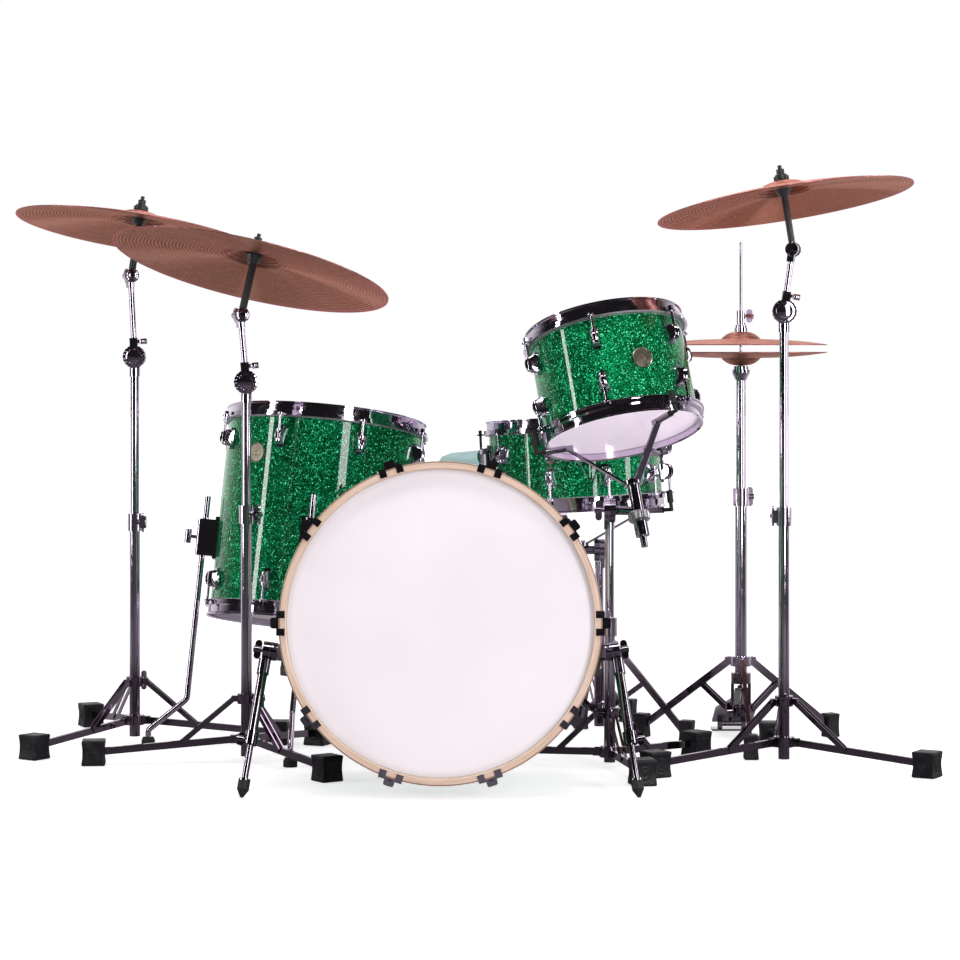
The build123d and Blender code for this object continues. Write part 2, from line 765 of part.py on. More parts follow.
def cymbal(diameter, bell=bell_height, bow=bow_height, swell=bow_swell):
    """A thin bowed plate with a raised bell, its edge at Z 0."""
    edge = diameter / 2
    base = edge * bell_share
    sheet = Vector(0, 0, -cymbal_sheet)
    rim = Vector(edge, 0, 0)
    foot = Vector(base, 0, bow)
    crown = Vector(cymbal_hole, 0, bow + bell)
    on_bow = (rim + foot) * 0.5 + Vector(0, 0, swell)
    on_bell = (foot + crown) * 0.5 + Vector(base * 0.1, 0, bell * 0.22)
    top = [ThreePointArc(rim, on_bow, foot), ThreePointArc(foot, on_bell, crown)]
    low = [
        ThreePointArc(rim + sheet, on_bow + sheet, foot + sheet),
        ThreePointArc(foot + sheet, on_bell + sheet, crown + sheet)]
    ends = [Line(rim, rim + sheet), Line(crown, crown + sheet)]
    outline = Wire([*top, *low, *ends])
    return revolve(Face(outline), axis=Axis.Z)


def post_with_ratchet(clamp_level, ratchet_level):
    """The upper tube of a cymbal stand with the fixed half of its disc joint."""
    reach = ratchet_radius + 18
    casting = Plane(origin=(0, 0, ratchet_level), x_dir=(0, 0, -1), z_dir=(0, 1, 0)).location * half_joint(
        ratchet_radius, ratchet_thickness, reach, post_radius + 2)
    tube = upright(post_radius, clamp_level - post_insert, ratchet_level - reach, post_bore)
    bolt = frame((0, ratchet_thickness, ratchet_level), (0, 1, 0), (1, 0, 0)) * wing_screw(6.0)
    return [tube, casting, bolt]


def boom(ratchet_level, pivot_level, axis):
    """The rod above the disc joint and the fixed half of the cymbal tilter."""
    reach = ratchet_radius + 16
    low_half = Plane(origin=(0, 0, ratchet_level), x_dir=(0, 0, 1), z_dir=(0, -1, 0)).location * half_joint(
        ratchet_radius, ratchet_thickness, reach, post_radius)
    hinge = tilter_hinge(axis)
    tilter_shank = tilter_disc + 12
    top_half = Plane(origin=(0, 0, pivot_level), x_dir=(0, 0, -1), z_dir=hinge).location * half_joint(
        tilter_disc, tilter_disc_thickness, tilter_shank, boom_radius + 1.5)
    rod = upright(boom_radius, ratchet_level + reach, pivot_level - tilter_shank)
    bolt = frame(
        (post_radius * 0.9, 0, ratchet_level + ratchet_radius + 8), (1, 0, 0), (0, 1, 0)) * wing_screw(6.0)
    knob = Plane(
        origin=Vector(0, 0, pivot_level) + hinge * tilter_disc_thickness, x_dir=(0, 0, 1),
        z_dir=hinge).location * wing_screw(4.0, wing_span * 0.75)
    return [low_half - bolt, rod, top_half, bolt, knob]


def tilter_hinge(axis):
    """The level direction that a tilter turns about, square to the way its cymbal leans."""
    return Vector(0, 0, 1).cross(axis).normalized()


def tilter(pivot_level, axis):
    """The moving half of a tilter: its spindle, cup, felts and nut."""
    hinge = tilter_hinge(axis)
    arm = tilter_reach - felt_height - 20
    half = half_joint(tilter_disc, tilter_disc_thickness, arm, boom_radius)
    place = Plane(origin=(0, 0, pivot_level), x_dir=axis, z_dir=hinge * -1)
    along = frame((0, 0, 0), (1, 0, 0))
    hole_top = tilter_reach + cymbal_sheet + felt_play
    nut_low = hole_top + felt_height
    spindle = along * upright(
        spindle_radius, arm, nut_low + cymbal_nut_height + spindle_spare)
    cup = along * (turned([
        (0, arm), (spindle_sleeve + 3, arm), (felt_radius, tilter_reach - felt_height - 4),
        (felt_radius, tilter_reach - felt_height), (0, tilter_reach - felt_height)])
        - upright(spindle_radius, 0, tilter_reach))
    bore = spindle_radius + seat_gap
    low_felt = along * turned([
        (bore, tilter_reach - felt_height), (felt_radius, tilter_reach - felt_height),
        (felt_radius, tilter_reach - felt_slope - felt_play), (bore + 3, tilter_reach - felt_play),
        (bore, tilter_reach - felt_play)])
    top_felt = along * turned([
        (bore, hole_top), (bore + 3, hole_top), (felt_radius * 0.9, hole_top + felt_slope * 0.4),
        (felt_radius * 0.9, nut_low), (bore, nut_low)])
    nut = along * turned([
        (bore, nut_low), (cymbal_nut_radius + 4, nut_low), (cymbal_nut_radius + 4, nut_low + 3),
        (cymbal_nut_radius, nut_low + 5), (cymbal_nut_radius, nut_low + cymbal_nut_height),
        (bore, nut_low + cymbal_nut_height)])
    return [place.location * piece for piece in (half + cup + spindle, low_felt, top_felt, nut)]


def boom_swing(ratchet_level, boom_lean):
    """The turn of a boom about its ratchet, towards +X."""
    return Pos(0, 0, ratchet_level) * Rot(0, boom_lean, 0) * Pos(0, 0, -ratchet_level)


def cymbal_stand(name, x, y, phase, levels, lean, boom_lean, diameter, turn):
    """The nodes of one cymbal stand with its cymbal, and its rubber feet."""
    clamp_level, ratchet_level, pivot_level = levels
    swing = boom_swing(ratchet_level, boom_lean)
    axis = lean_axis(*lean).rotate(Axis.Y, -boom_lean)
    metal, feet = tripod(
        (pole_outer, pole_inner), (pole_floor_gap, clamp_level, cymbal_hub_level, cymbal_collar_level),
        cymbal_tripod_radius, phase, turn)
    hole = Vector(0, 0, pivot_level) + axis * tilter_reach
    plate = Plane(
        origin=hole - axis * (bell_height + bow_height - cymbal_sheet), x_dir=tilter_hinge(axis).cross(axis),
        z_dir=axis)
    place = Pos(x, y, 0)
    nodes = moved(place, {
        f"{name}_stand_base": metal,
        f"{name}_stand_post": post_with_ratchet(clamp_level, ratchet_level),
        f"{name}_stand_boom": [swing * piece for piece in boom(ratchet_level, pivot_level, axis)],
        f"{name}_tilter": [swing * piece for piece in tilter(pivot_level, axis)],
        f"{name}_cymbal": [swing * plate.location * cymbal(diameter)]})
    return nodes, [place * foot for foot in feet]


# ---------------------------------------------------------------- footboards
def footboard(length, toe_width):
    """A ribbed foot plate from its heel hinge on X to its toe at -Y, with its tread up."""
    half_heel = footboard_width / 2
    half_toe = toe_width / 2
    shoulder = length * 0.72
    heel_edge = 2 * hinge_barrel
    outline = Polyline(
        (-half_heel, -heel_edge), (-half_heel, -shoulder * 0.6), (-half_toe, -shoulder),
        (-half_toe, -length), (half_toe, -length), (half_toe, -shoulder),
        (half_heel, -shoulder * 0.6), (half_heel, -heel_edge), close=True)
    plate = extrude(make_face(outline), footboard_sheet)
    for step in range(1, tread_rib_count + 1):
        plate += Pos(0, -step * shoulder * 0.6 / (tread_rib_count + 1), footboard_sheet) * Box(
            footboard_width * 0.8, footboard_rib, 2, align=ON_BASE)
    tab = Box(hinge_width, heel_edge + 2, footboard_sheet, align=(Align.CENTER, Align.MAX, Align.MIN))
    barrel = frame((-hinge_width / 2, 0, 0), (1, 0, 0)) * upright(hinge_barrel, 0, hinge_width)
    pin_hole = frame((-hinge_width, 0, 0), (1, 0, 0)) * upright(hinge_pin + seat_gap, 0, 2 * hinge_width)
    return plate + tab + barrel - pin_hole


def heel_plate(level, width):
    """The heel of a pedal on the floor, its two cheeks and the hinge pin between them."""
    base = Pos(0, 4, 0) * Box(width, 2 * hinge_barrel + 34, pedal_plate, align=ON_BASE)
    for side in (-1, 1):
        base += Pos(side * (hinge_width / 2 + body_gap + 5), 0, 0) * Box(
            10, 2 * hinge_barrel, level + hinge_barrel, align=ON_BASE)
    pin_length = hinge_width + 2 * body_gap + 20
    pin = frame((-pin_length / 2, 0, level), (1, 0, 0))
    base -= pin * upright(hinge_pin + seat_gap, 0, pin_length)
    return [base, pin * upright(hinge_pin, 0, pin_length)]


hihat_lean = math.radians(hihat_board_angle)
hihat_toe = hihat_board_length - toe_margin
hihat_heel_y = hihat_toe * math.cos(hihat_lean) - footboard_sheet * math.sin(hihat_lean)
hihat_board_place = Pos(0, hihat_heel_y, hihat_heel_level) * Rot(-hihat_board_angle, 0, 0)
hihat_rod_bottom = (
    hihat_heel_level + hihat_toe * math.sin(hihat_lean) + footboard_sheet * math.cos(hihat_lean)
    + hihat_yoke_pin / math.cos(hihat_lean) + body_gap)


# ---------------------------------------------------------------- hi-hat
def hihat():
    """The hi-hat stand, its pair of cymbals, pull rod and footboard."""
    metal, feet = tripod(
        (hihat_pole_outer, hihat_pole_inner),
        (hihat_frame_level, hihat_clamp_level, hihat_leg_level, hihat_collar_level),
        hihat_tripod_radius, hihat_phase, 90.0, foot=hihat_foot, share=hihat_brace_share)
    metal.append(
        upright(hihat_pole_outer + 8, hihat_frame_level - 14, hihat_frame_level + 8)
        - upright(hihat_pole_outer + seat_gap, hihat_frame_level, hihat_frame_level + 9)
        - upright(hihat_pole_inner, hihat_frame_level - 15, hihat_frame_level))
    for side in (-1, 1):
        strut_x = side * (hihat_pole_outer + 5)
        metal.append(Pos(strut_x, 0, 0) * upright(
            3.5, hihat_collar_level + hub_height / 2, hihat_frame_level - 14))
    seat = hihat_seat_level
    post_tube = upright(
        hihat_post_outer, hihat_clamp_level - post_insert, seat - hihat_cup_height, hihat_post_bore)
    cup = turned([
        (hihat_post_bore, seat - hihat_cup_height), (hihat_post_outer + 1, seat - hihat_cup_height),
        (hihat_seat_radius, seat - 6), (hihat_seat_radius, seat), (hihat_post_bore, seat)])
    seat_felt = turned([
        (hihat_rod_radius + slide_gap, seat), (hihat_seat_radius - 3, seat),
        (hihat_seat_radius - 3, seat + felt_height - 2), (hihat_rod_radius + slide_gap, seat + felt_height)])
    height = hihat_bell_height + hihat_bow_height
    plate = cymbal(hihat_diameter, hihat_bell_height, hihat_bow_height, hihat_bow_swell)
    low_edge = seat + felt_height + height + body_gap
    low_cymbal = Pos(0, 0, low_edge) * Rot(180, 0, 0) * plate
    top_edge = low_edge + hihat_opening + 2 * cymbal_sheet
    top_cymbal = Pos(0, 0, top_edge) * plate
    hole_level = top_edge + height
    rod = upright(hihat_rod_radius, hihat_rod_bottom, hihat_rod_top)
    yoke = frame((-hihat_yoke_radius, 0, hihat_rod_bottom), (1, 0, 0)) * upright(
        hihat_yoke_pin, 0, 2 * hihat_yoke_radius)
    bore = hihat_rod_radius + seat_gap
    low_nut = turned([
        (bore, hole_level - cymbal_sheet - 12), (clutch_radius, hole_level - cymbal_sheet - 12),
        (clutch_radius, hole_level - cymbal_sheet - 5), (bore, hole_level - cymbal_sheet - 5)])
    low_felt = upright(
        felt_radius * 0.75, hole_level - cymbal_sheet - 5, hole_level - cymbal_sheet - body_gap * 3, bore)
    top_felt = upright(felt_radius * 0.8, hole_level + body_gap, hole_level + 8, bore)
    clutch = upright(clutch_radius + 3, hole_level + 8, hole_level + 14, bore) + upright(
        clutch_radius, hole_level + 14, hole_level + clutch_height, bore)
    clutch_screw = frame(
        (clutch_radius - 1, 0, hole_level + clutch_height - 11), (1, 0, 0), (0, 0, 1)) * wing_screw(
        5.0, wing_span * 0.7)
    place = Pos(hihat_x, hihat_y, 0)
    nodes = moved(place, {
        "hihat_stand_base": metal,
        "hihat_stand_post": [post_tube, cup, seat_felt],
        "hihat_low_cymbal": [low_cymbal],
        "hihat_rod": [rod + yoke, low_nut, low_felt, top_felt, clutch - clutch_screw, clutch_screw],
        "hihat_top_cymbal": [top_cymbal],
        "hihat_footboard": [hihat_board_place * footboard(hihat_board_length, hihat_toe_width)]})
    nodes["hihat_stand_base"] += [
        place * Pos(0, hihat_heel_y, 0) * piece for piece in heel_plate(hihat_heel_level, footboard_width)]
    return nodes, [place * foot for foot in feet]


# ================================================================ kick pedal
pedal_axle_y = bass_rear_y + pedal_axle_behind
pedal_slope = math.radians(pedal_board_angle)
pedal_toe_y = pedal_axle_y - cam_radius
pedal_heel_y = pedal_toe_y + (pedal_board_length - toe_margin) * math.cos(pedal_slope)
pedal_board_place = Pos(bass_x, pedal_heel_y, pedal_heel_level) * Rot(-pedal_board_angle, 0, 0)


def strike_angle():
    """How far the beater's arm leans forward from upright when its face meets the head."""
    head_point = Vector(bass_x, bass_rear_y, bass_rear_height) + bass_axis * (wood_hoop_rise - head_film)
    reach = beater_length / 2 + strike_gap
    run = (pedal_axle_y - head_point.Y) * math.cos(bass_tilt)
    rise = (pedal_axle_level - head_point.Z) * math.sin(bass_tilt)
    return math.degrees(math.asin((run - rise - reach) / beater_arm) - bass_tilt)


def beater():
    """The axle with its cam, the arm and the felt beater, swung back to rest."""
    lean = strike_angle()
    axle = frame((-pedal_axle_length / 2, 0, 0), (1, 0, 0)) * upright(pedal_axle_radius, 0, pedal_axle_length)
    cam = frame((-cam_width / 2, 0, 0), (1, 0, 0)) * upright(cam_radius, 0, cam_width)
    holder = Pos(0, 0, 0) * upright(pedal_axle_radius * 1.8, 0, cam_radius + 14)
    arm = upright(beater_arm_radius, cam_radius + 14, beater_arm + beater_radius + 12)
    half = beater_length / 2
    face = turned([
        (0, -half), (beater_radius - 5, -half), (beater_radius, -half + 5),
        (beater_radius, half - 5), (beater_radius - 5, half), (0, half)])
    tilt = lean + math.degrees(bass_tilt)
    felt = Pos(0, 0, beater_arm) * Rot(90, 0, 0) * face
    felt = Pos(0, 0, beater_arm) * Rot(-tilt, 0, 0) * Pos(0, 0, -beater_arm) * felt
    felt -= upright(beater_arm_radius + seat_gap, 0, beater_arm * 2)
    lever = Pos(pedal_axle_length / 2 - 4, 0, 0) * strap(
        (0, 0, 0), (0, spring_lever, 0), 9, 8, (1, 0, 0))
    turn = Pos(bass_x, pedal_axle_y, pedal_axle_level) * Rot(lean - beater_rest_angle, 0, 0)
    return [turn * piece for piece in (axle + cam + holder + lever, arm, felt)]


def kick_pedal():
    """The kick pedal behind the bass drum: its frame, beater and footboard."""
    spacing = pedal_upright_spacing / 2
    plate_start = bass_rear_y - 26
    plate = Pos(bass_x, plate_start, 0) * Box(
        pedal_plate_width, pedal_heel_y + 24 - plate_start, bass_rear_lift,
        align=(Align.CENTER, Align.MIN, Align.MIN))
    frame_body = plate
    bearing = pedal_upright_width
    for side in (-1, 1):
        column = Pos(bass_x + side * spacing, pedal_axle_y, 0) * Box(
            pedal_upright_width, pedal_upright_depth, pedal_axle_level, align=ON_BASE)
        eye = frame((bass_x + side * spacing - bearing / 2, pedal_axle_y, pedal_axle_level), (1, 0, 0))
        column = column + eye * upright(pedal_upright_depth / 2, 0, bearing)
        frame_body += column - eye * upright(pedal_axle_radius + slide_gap, -1, bearing + 1)
    for side in (-1, 1):
        frame_body += Pos(bass_x + side * (hinge_width / 2 + body_gap + 5), pedal_heel_y, 0) * Box(
            10, 2 * hinge_barrel, pedal_heel_level + hinge_barrel, align=ON_BASE)
    pin_length = hinge_width + 2 * body_gap + 20
    pin = frame((bass_x - pin_length / 2, pedal_heel_y, pedal_heel_level), (1, 0, 0))
    frame_body -= pin * upright(hinge_pin + seat_gap, 0, pin_length)
    jaw_low = bass_rear_lift + wood_hoop_face + 2 * body_gap
    jaw = Pos(bass_x, bass_rear_y + 16, bass_rear_lift) * Box(46, 12, jaw_low, align=ON_BASE)
    jaw += Pos(bass_x, bass_rear_y + 22, jaw_low) * Box(
        46, 22 + wood_hoop_rise * 0.6, 7, align=(Align.CENTER, Align.MAX, Align.MIN))
    jaw_bolt = Pos(bass_x, bass_rear_y + 16, jaw_low + 7) * wing_screw(8.0)
    spring_x = bass_x + pedal_axle_length / 2 - 6
    spring_top = pedal_axle_level - 34
    spring = Pos(spring_x, pedal_axle_y + spring_offset, 0) * upright(
        7, bass_rear_lift + spring_post_height, spring_top, 4)
    spring_post = Pos(spring_x - 2, pedal_axle_y + spring_offset, bass_rear_lift) * Box(
        12, 20, spring_post_height, align=ON_BASE)
    spring_foot = Pos(spring_x - 12, pedal_axle_y + spring_offset, 0) * Box(
        pedal_plate_width * 0.3, 20, bass_rear_lift, align=ON_BASE)
    frame_body += spring_foot
    frame_body += spring_post
    chain_low = pedal_heel_level + (pedal_board_length - toe_margin) * math.sin(pedal_slope)
    chain = Pos(bass_x, pedal_toe_y - body_gap - 2, chain_low) * Box(
        cam_width * 0.7, 4, pedal_axle_level - chain_low + 8, align=ON_BASE)
    board = pedal_board_place * footboard(pedal_board_length, pedal_toe_width)
    return {
        "kick_pedal_frame": [frame_body, pin * upright(hinge_pin, 0, pin_length), jaw, jaw_bolt, spring],
        "kick_beater": beater(),
        "kick_footboard": [board + chain]}


# ================================================================ baskets
def basket(place, radius, turn, pivot, side, levels):
    """Three rubber-covered arms under a drum on their hub, and the moving half of the tilter."""
    arm_level, hub_length = levels
    hook_level = -hoop_rise - hoop_sheet - basket_rubber - body_gap
    flange = radius + 2 * body_gap + head_collar + flesh_width + hoop_flange
    corner = (flange + basket_rubber + 5, 0, hook_level)
    inner = (radius - basket_inside, 0, hook_level)
    tip = (flange + basket_rubber + 1.5, 0, basket_hook_rise + hook_level)
    hub_top = basket_under - arm_level
    wire = bar(inner, corner, basket_wire) + bar(corner, tip, basket_wire) + Pos(*corner) * Sphere(basket_wire)
    lower = Vector(*inner) + (Vector(*corner) - Vector(*inner)) * 0.72
    upper = Vector(*corner) + (Vector(*tip) - Vector(*corner)) * 0.35
    rubbers = [
        bar(inner, lower, basket_rubber, basket_wire + seat_gap),
        bar(upper, tip, basket_rubber, basket_wire + seat_gap)]
    arm_start = (basket_hub_radius + body_gap + 2, 0, hub_top - 8)
    arm_end = (inner[0] - 1, 0, hook_level - 1)
    arm = strap(arm_start, arm_end, basket_arm_width, basket_arm_sheet, (0, 0, 1))
    link = Pos(inner[0] - 6, 0, hook_level - 1) * Box(14, basket_arm_width, 9)
    low = hub_top - hub_length
    hub = upright(basket_hub_radius, low, hub_top)
    star = upright(basket_hub_radius + 7, hub_top - 12, hub_top - 4)
    nut = upright(basket_nut_radius, low - basket_nut_height, low - body_gap, basket_thread + seat_gap)
    thread = upright(basket_thread, low - basket_nut_height - basket_thread_length, low)
    pieces = [nut]
    body = hub + star + thread
    for place_arm in around(3, turn):
        body += place_arm * (arm + link)
        pieces.append(place_arm * (wire - link))
        pieces += [place_arm * (rubber - link) for rubber in rubbers]
    pieces = [place * piece for piece in pieces]
    body = place * body
    plane = Plane(origin=pivot, x_dir=(0, 0, 1), z_dir=(side, 0, 0))
    disc = plane.location * upright(ratchet_radius, body_gap / 2, ratchet_thickness)
    axis = Plane(place).z_dir
    origin = Plane(place).origin
    level = pivot.Z
    on_hub = origin + axis * ((level - origin.Z) / axis.Z)
    start = pivot + Vector(side * ratchet_thickness * 0.6, 0, 0)
    stub = bar(start, on_hub, basket_stub)
    return [body + disc + stub, *pieces]


def basket_post(x, y, clamp_level, pivot_level, side):
    """A drum stand's upper tube with the fixed half of its tilter."""
    reach = ratchet_radius + 14
    casting = Plane(origin=(0, 0, pivot_level), x_dir=(0, 0, -1), z_dir=(-side, 0, 0)).location * half_joint(
        ratchet_radius, ratchet_thickness, reach, post_radius + 1)
    tube = upright(post_radius, clamp_level - post_insert, pivot_level - reach, post_bore)
    bolt = frame((-side * ratchet_thickness, 0, pivot_level), (-side, 0, 0), (0, 0, 1)) * wing_screw(6.0)
    return [Pos(x, y, 0) * piece for piece in (tube, casting, bolt)]


# ================================================================ snare fittings
def strainer_parts():
    """The throw-off, its lever, the butt plate and the wires under the lower head."""
    radius = snare_diameter / 2
    level = snare_depth / 2 - strainer_height * 0.45
    face = radius + strainer_depth
    block = Pos(radius - 3, 0, level) * Box(
        strainer_depth + 3, strainer_width, strainer_height, align=(Align.MIN, Align.CENTER, Align.MIN))
    block = fillet(block.edges().filter_by(Axis.Z).sort_by(Axis.X)[-2:], 4)
    trim = upright(radius, 0, snare_depth)
    butt = Rot(0, 0, 180) * (block - trim)
    pivot_level = level + 10
    lever = Pos(face + body_gap, 0, pivot_level) * Box(
        lever_sheet, lever_width, lever_length, align=(Align.MIN, Align.CENTER, Align.MIN))
    lever += Pos(face + body_gap, 0, pivot_level + lever_length - 10) * Box(
        lever_sheet + 8, lever_width, 10, align=(Align.MIN, Align.CENTER, Align.MIN))
    knob = frame((radius + strainer_depth * 0.5, 0, level + strainer_height), (0, 0, 1)) * upright(6, 0, 12)
    low = -head_film - body_gap
    span = radius - 24
    band = Pos(0, 0, low - wire_band_sheet) * Box(
        2 * span, wire_band_width, wire_band_sheet, align=ON_BASE)
    turn = Rot(0, 0, strainer_direction)
    fixed = [block - trim, knob, butt]
    return [turn * piece for piece in fixed], [turn * lever], [turn * band]


# ================================================================ throne
def throne():
    """The drummer's seat on its own tripod."""
    metal, feet = tripod(
        (throne_pole_outer, throne_pole_inner),
        (60.0, throne_clamp_level, throne_leg_level, throne_collar_level),
        throne_tripod_radius, throne_phase, 40.0, foot=throne_foot)
    seat_low = throne_seat_top - throne_seat_height
    post = upright(throne_post_radius, throne_clamp_level - post_insert, seat_low - 40)
    socket = upright(throne_post_radius + 6, seat_low - 40 + body_gap, seat_low - throne_plate)
    plate = upright(throne_seat_radius * 0.6, seat_low - throne_plate, seat_low)
    edge = throne_seat_height * 0.3
    cushion = turned([
        (0, seat_low), (throne_seat_radius - 6, seat_low), (throne_seat_radius, seat_low + 8),
        (throne_seat_radius, throne_seat_top - edge), (throne_seat_radius - 8, throne_seat_top - edge * 0.35),
        (throne_seat_radius - 26, throne_seat_top), (0, throne_seat_top)])
    place = Pos(throne_x, throne_y, 0)
    nodes = moved(place, {
        "throne_base": metal,
        "throne_post": [post],
        "throne_seat": [socket + plate, cushion]})
    return nodes, [place * foot for foot in feet]


# ================================================================ the whole kit
def build_kit():
    """Every node of the kit as a list of solids, in the kit's working position."""
    nodes = moved(bass_place, bass_drum())
    nodes["bass_spur_brackets"] = spur_bracket(-1) + spur_bracket(1)
    nodes["bass_spur_left"] = spur(-1)
    nodes["bass_spur_right"] = spur(1)
    nodes.update(kick_pedal())
    nodes.update(moved(floor_tom_place, tom(
        "floor_tom", floor_tom_diameter, floor_tom_depth, floor_tom_lug_count, 22.5)))
    nodes["floor_tom_brackets"] = [
        floor_tom_place * piece for turn in leg_directions for piece in leg_bracket(turn)]
    for number, direction in enumerate(leg_directions, 1):
        nodes[f"floor_tom_leg_{number}"] = floor_tom_leg(direction)
    rack_place = leaning(rack_tom_x, rack_tom_y, rack_tom_height, rack_tom_lean_x, rack_tom_lean_y)
    nodes.update(moved(rack_place, tom(
        "rack_tom", rack_tom_diameter, rack_tom_depth, rack_tom_lug_count, rack_tom_turn)))
    snare_place = leaning(snare_x, snare_y, snare_height, snare_lean_x, snare_lean_y)
    nodes.update(moved(snare_place, tom("snare", snare_diameter, snare_depth, snare_lug_count, 0)))
    fixed, lever, wires = strainer_parts()
    nodes["snare_strainer"] = [snare_place * piece for piece in fixed]
    nodes["snare_strainer_lever"] = [snare_place * piece for piece in lever]
    nodes["snare_wires"] = [snare_place * piece for piece in wires]
    tubes = (pole_outer, pole_inner)
    metal, feet = tripod(
        tubes, (10.0, tom_clamp_level, tom_hub_level, tom_collar_level), tom_tripod_radius, tom_phase,
        tom_clamp_turn)
    place = Pos(tom_stand_x, tom_stand_y, 0)
    nodes["tom_stand_base"] = [place * piece for piece in metal]
    rubber = [place * foot for foot in feet]
    nodes["tom_stand_post"] = basket_post(
        tom_stand_x, tom_stand_y, tom_clamp_level, tom_pivot_level, 1)
    nodes["tom_basket"] = basket(
        rack_place, rack_tom_diameter / 2, tom_basket_turn,
        Vector(tom_stand_x, tom_stand_y, tom_pivot_level), 1, tom_basket_levels)
    metal, feet = tripod(
        tubes, (30.0, snare_clamp_level, snare_leg_level, snare_collar_level), snare_tripod_radius,
        snare_phase, snare_clamp_turn, foot=snare_foot, share=snare_brace_share)
    place = Pos(snare_stand_x, snare_stand_y, 0)
    nodes["snare_stand_base"] = [place * piece for piece in metal]
    rubber += [place * foot for foot in feet]
    nodes["snare_stand_post"] = basket_post(
        snare_stand_x, snare_stand_y, snare_clamp_level, snare_pivot_level, -1)
    nodes["snare_basket"] = basket(
        snare_place, snare_diameter / 2, snare_basket_turn,
        Vector(snare_stand_x, snare_stand_y, snare_pivot_level), -1, snare_basket_levels)
    stands = (
        ("ride", ride_stand_x, ride_stand_y, ride_phase,
         (ride_clamp_level, ride_ratchet_level, ride_pivot_level),
         (ride_lean_x, ride_lean_y), ride_boom_lean, ride_diameter, 20.0),
        ("left_crash", left_crash_stand_x, left_crash_stand_y, left_crash_phase,
         (left_crash_clamp_level, left_crash_ratchet_level, left_crash_pivot_level),
         (left_crash_lean_x, left_crash_lean_y), left_crash_boom_lean, left_crash_diameter, 0.0),
        ("right_crash", right_crash_stand_x, right_crash_stand_y, right_crash_phase,
         (right_crash_clamp_level, right_crash_ratchet_level, right_crash_pivot_level),
         (right_crash_lean_x, right_crash_lean_y), right_crash_boom_lean,
         right_crash_diameter, 180.0))
    for stand in stands:
        made, feet = cymbal_stand(*stand)
        nodes.update(made)
        rubber += feet
    for maker in (hihat, throne):
        made, feet = maker()
        nodes.update(made)
        rubber += feet
    nodes["rubber_feet"] = rubber
    return nodes


def main():
    nodes = build_kit()
    box = Compound([solid for solids in nodes.values() for solid in solids]).bounding_box()
    centre = box.center()
    settle = Pos(-centre.X, -centre.Y, -box.min.Z)
    os.makedirs("parts", exist_ok=True)
    for name, solids in nodes.items():
        settled = [settle * piece for solid in solids for piece in solid.solids()]
        export_step(Compound(children=settled), f"parts/{name}.step")
    print("moved by", -centre.X, -centre.Y, -box.min.Z, "size", box.size)


if __name__ == "__main__":
    main()
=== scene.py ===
# %% [markdown]
# # An acoustic drum kit
# A bass drum, a rack tom, a floor tom and a snare stand among chromed stands, with a ride, two
# crashes and a pair of hi-hats. The solids are already modelled in metres. This lesson gives them
# their finishes and adds what a solid model leaves out: rings on the rubber feet, badges, finned lug
# casings, a spring's coil, ratchet caps, a knurled knob and the padding of the seat.

# %% Load the solid model
import bpy
import bmesh
import json
import math
from mathutils import Matrix, Vector


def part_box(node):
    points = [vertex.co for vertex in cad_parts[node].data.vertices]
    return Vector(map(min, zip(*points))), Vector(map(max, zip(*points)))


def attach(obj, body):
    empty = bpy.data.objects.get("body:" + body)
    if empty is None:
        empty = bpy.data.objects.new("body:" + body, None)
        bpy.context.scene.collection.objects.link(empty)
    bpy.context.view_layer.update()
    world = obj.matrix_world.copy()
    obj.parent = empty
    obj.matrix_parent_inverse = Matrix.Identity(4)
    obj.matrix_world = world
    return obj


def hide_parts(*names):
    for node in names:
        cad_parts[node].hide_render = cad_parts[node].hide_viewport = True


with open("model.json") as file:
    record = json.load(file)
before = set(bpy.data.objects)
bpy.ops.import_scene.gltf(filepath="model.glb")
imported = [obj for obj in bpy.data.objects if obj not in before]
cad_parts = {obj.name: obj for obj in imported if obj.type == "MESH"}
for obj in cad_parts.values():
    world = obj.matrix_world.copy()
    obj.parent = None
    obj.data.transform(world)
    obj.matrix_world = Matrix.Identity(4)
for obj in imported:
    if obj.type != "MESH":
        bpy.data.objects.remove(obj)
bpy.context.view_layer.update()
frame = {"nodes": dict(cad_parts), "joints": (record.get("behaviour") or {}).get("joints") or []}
nodes = frame["nodes"]
joints = {joint["name"]: joint for joint in frame["joints"]}

# %% [markdown]
# ## Where each round piece stands
# Wrap, lathe lines and wood grain all follow an axis. A drum's axis runs through the middle of its
# shell's box. A cymbal's axis runs through its hole, where its rocking joint is. Only the lean of
# each axis is written here, as two angles towards +X and +Y. The bass drum lies along Y, and its
# front hoop stands a little higher than its rear one.

# %% Axes of the drums and cymbals
def leaning(towards_x, towards_y):
    """The direction of an axis that leans by two angles, in degrees."""
    return Vector((math.tan(math.radians(towards_x)), math.tan(math.radians(towards_y)), 1)).normalized()


def middle(node):
    """The middle of a node's box."""
    low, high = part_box(node)
    return (low + high) / 2


def hole(joint):
    """Where a joint stands."""
    return Vector(joints[joint]["pos_m"])


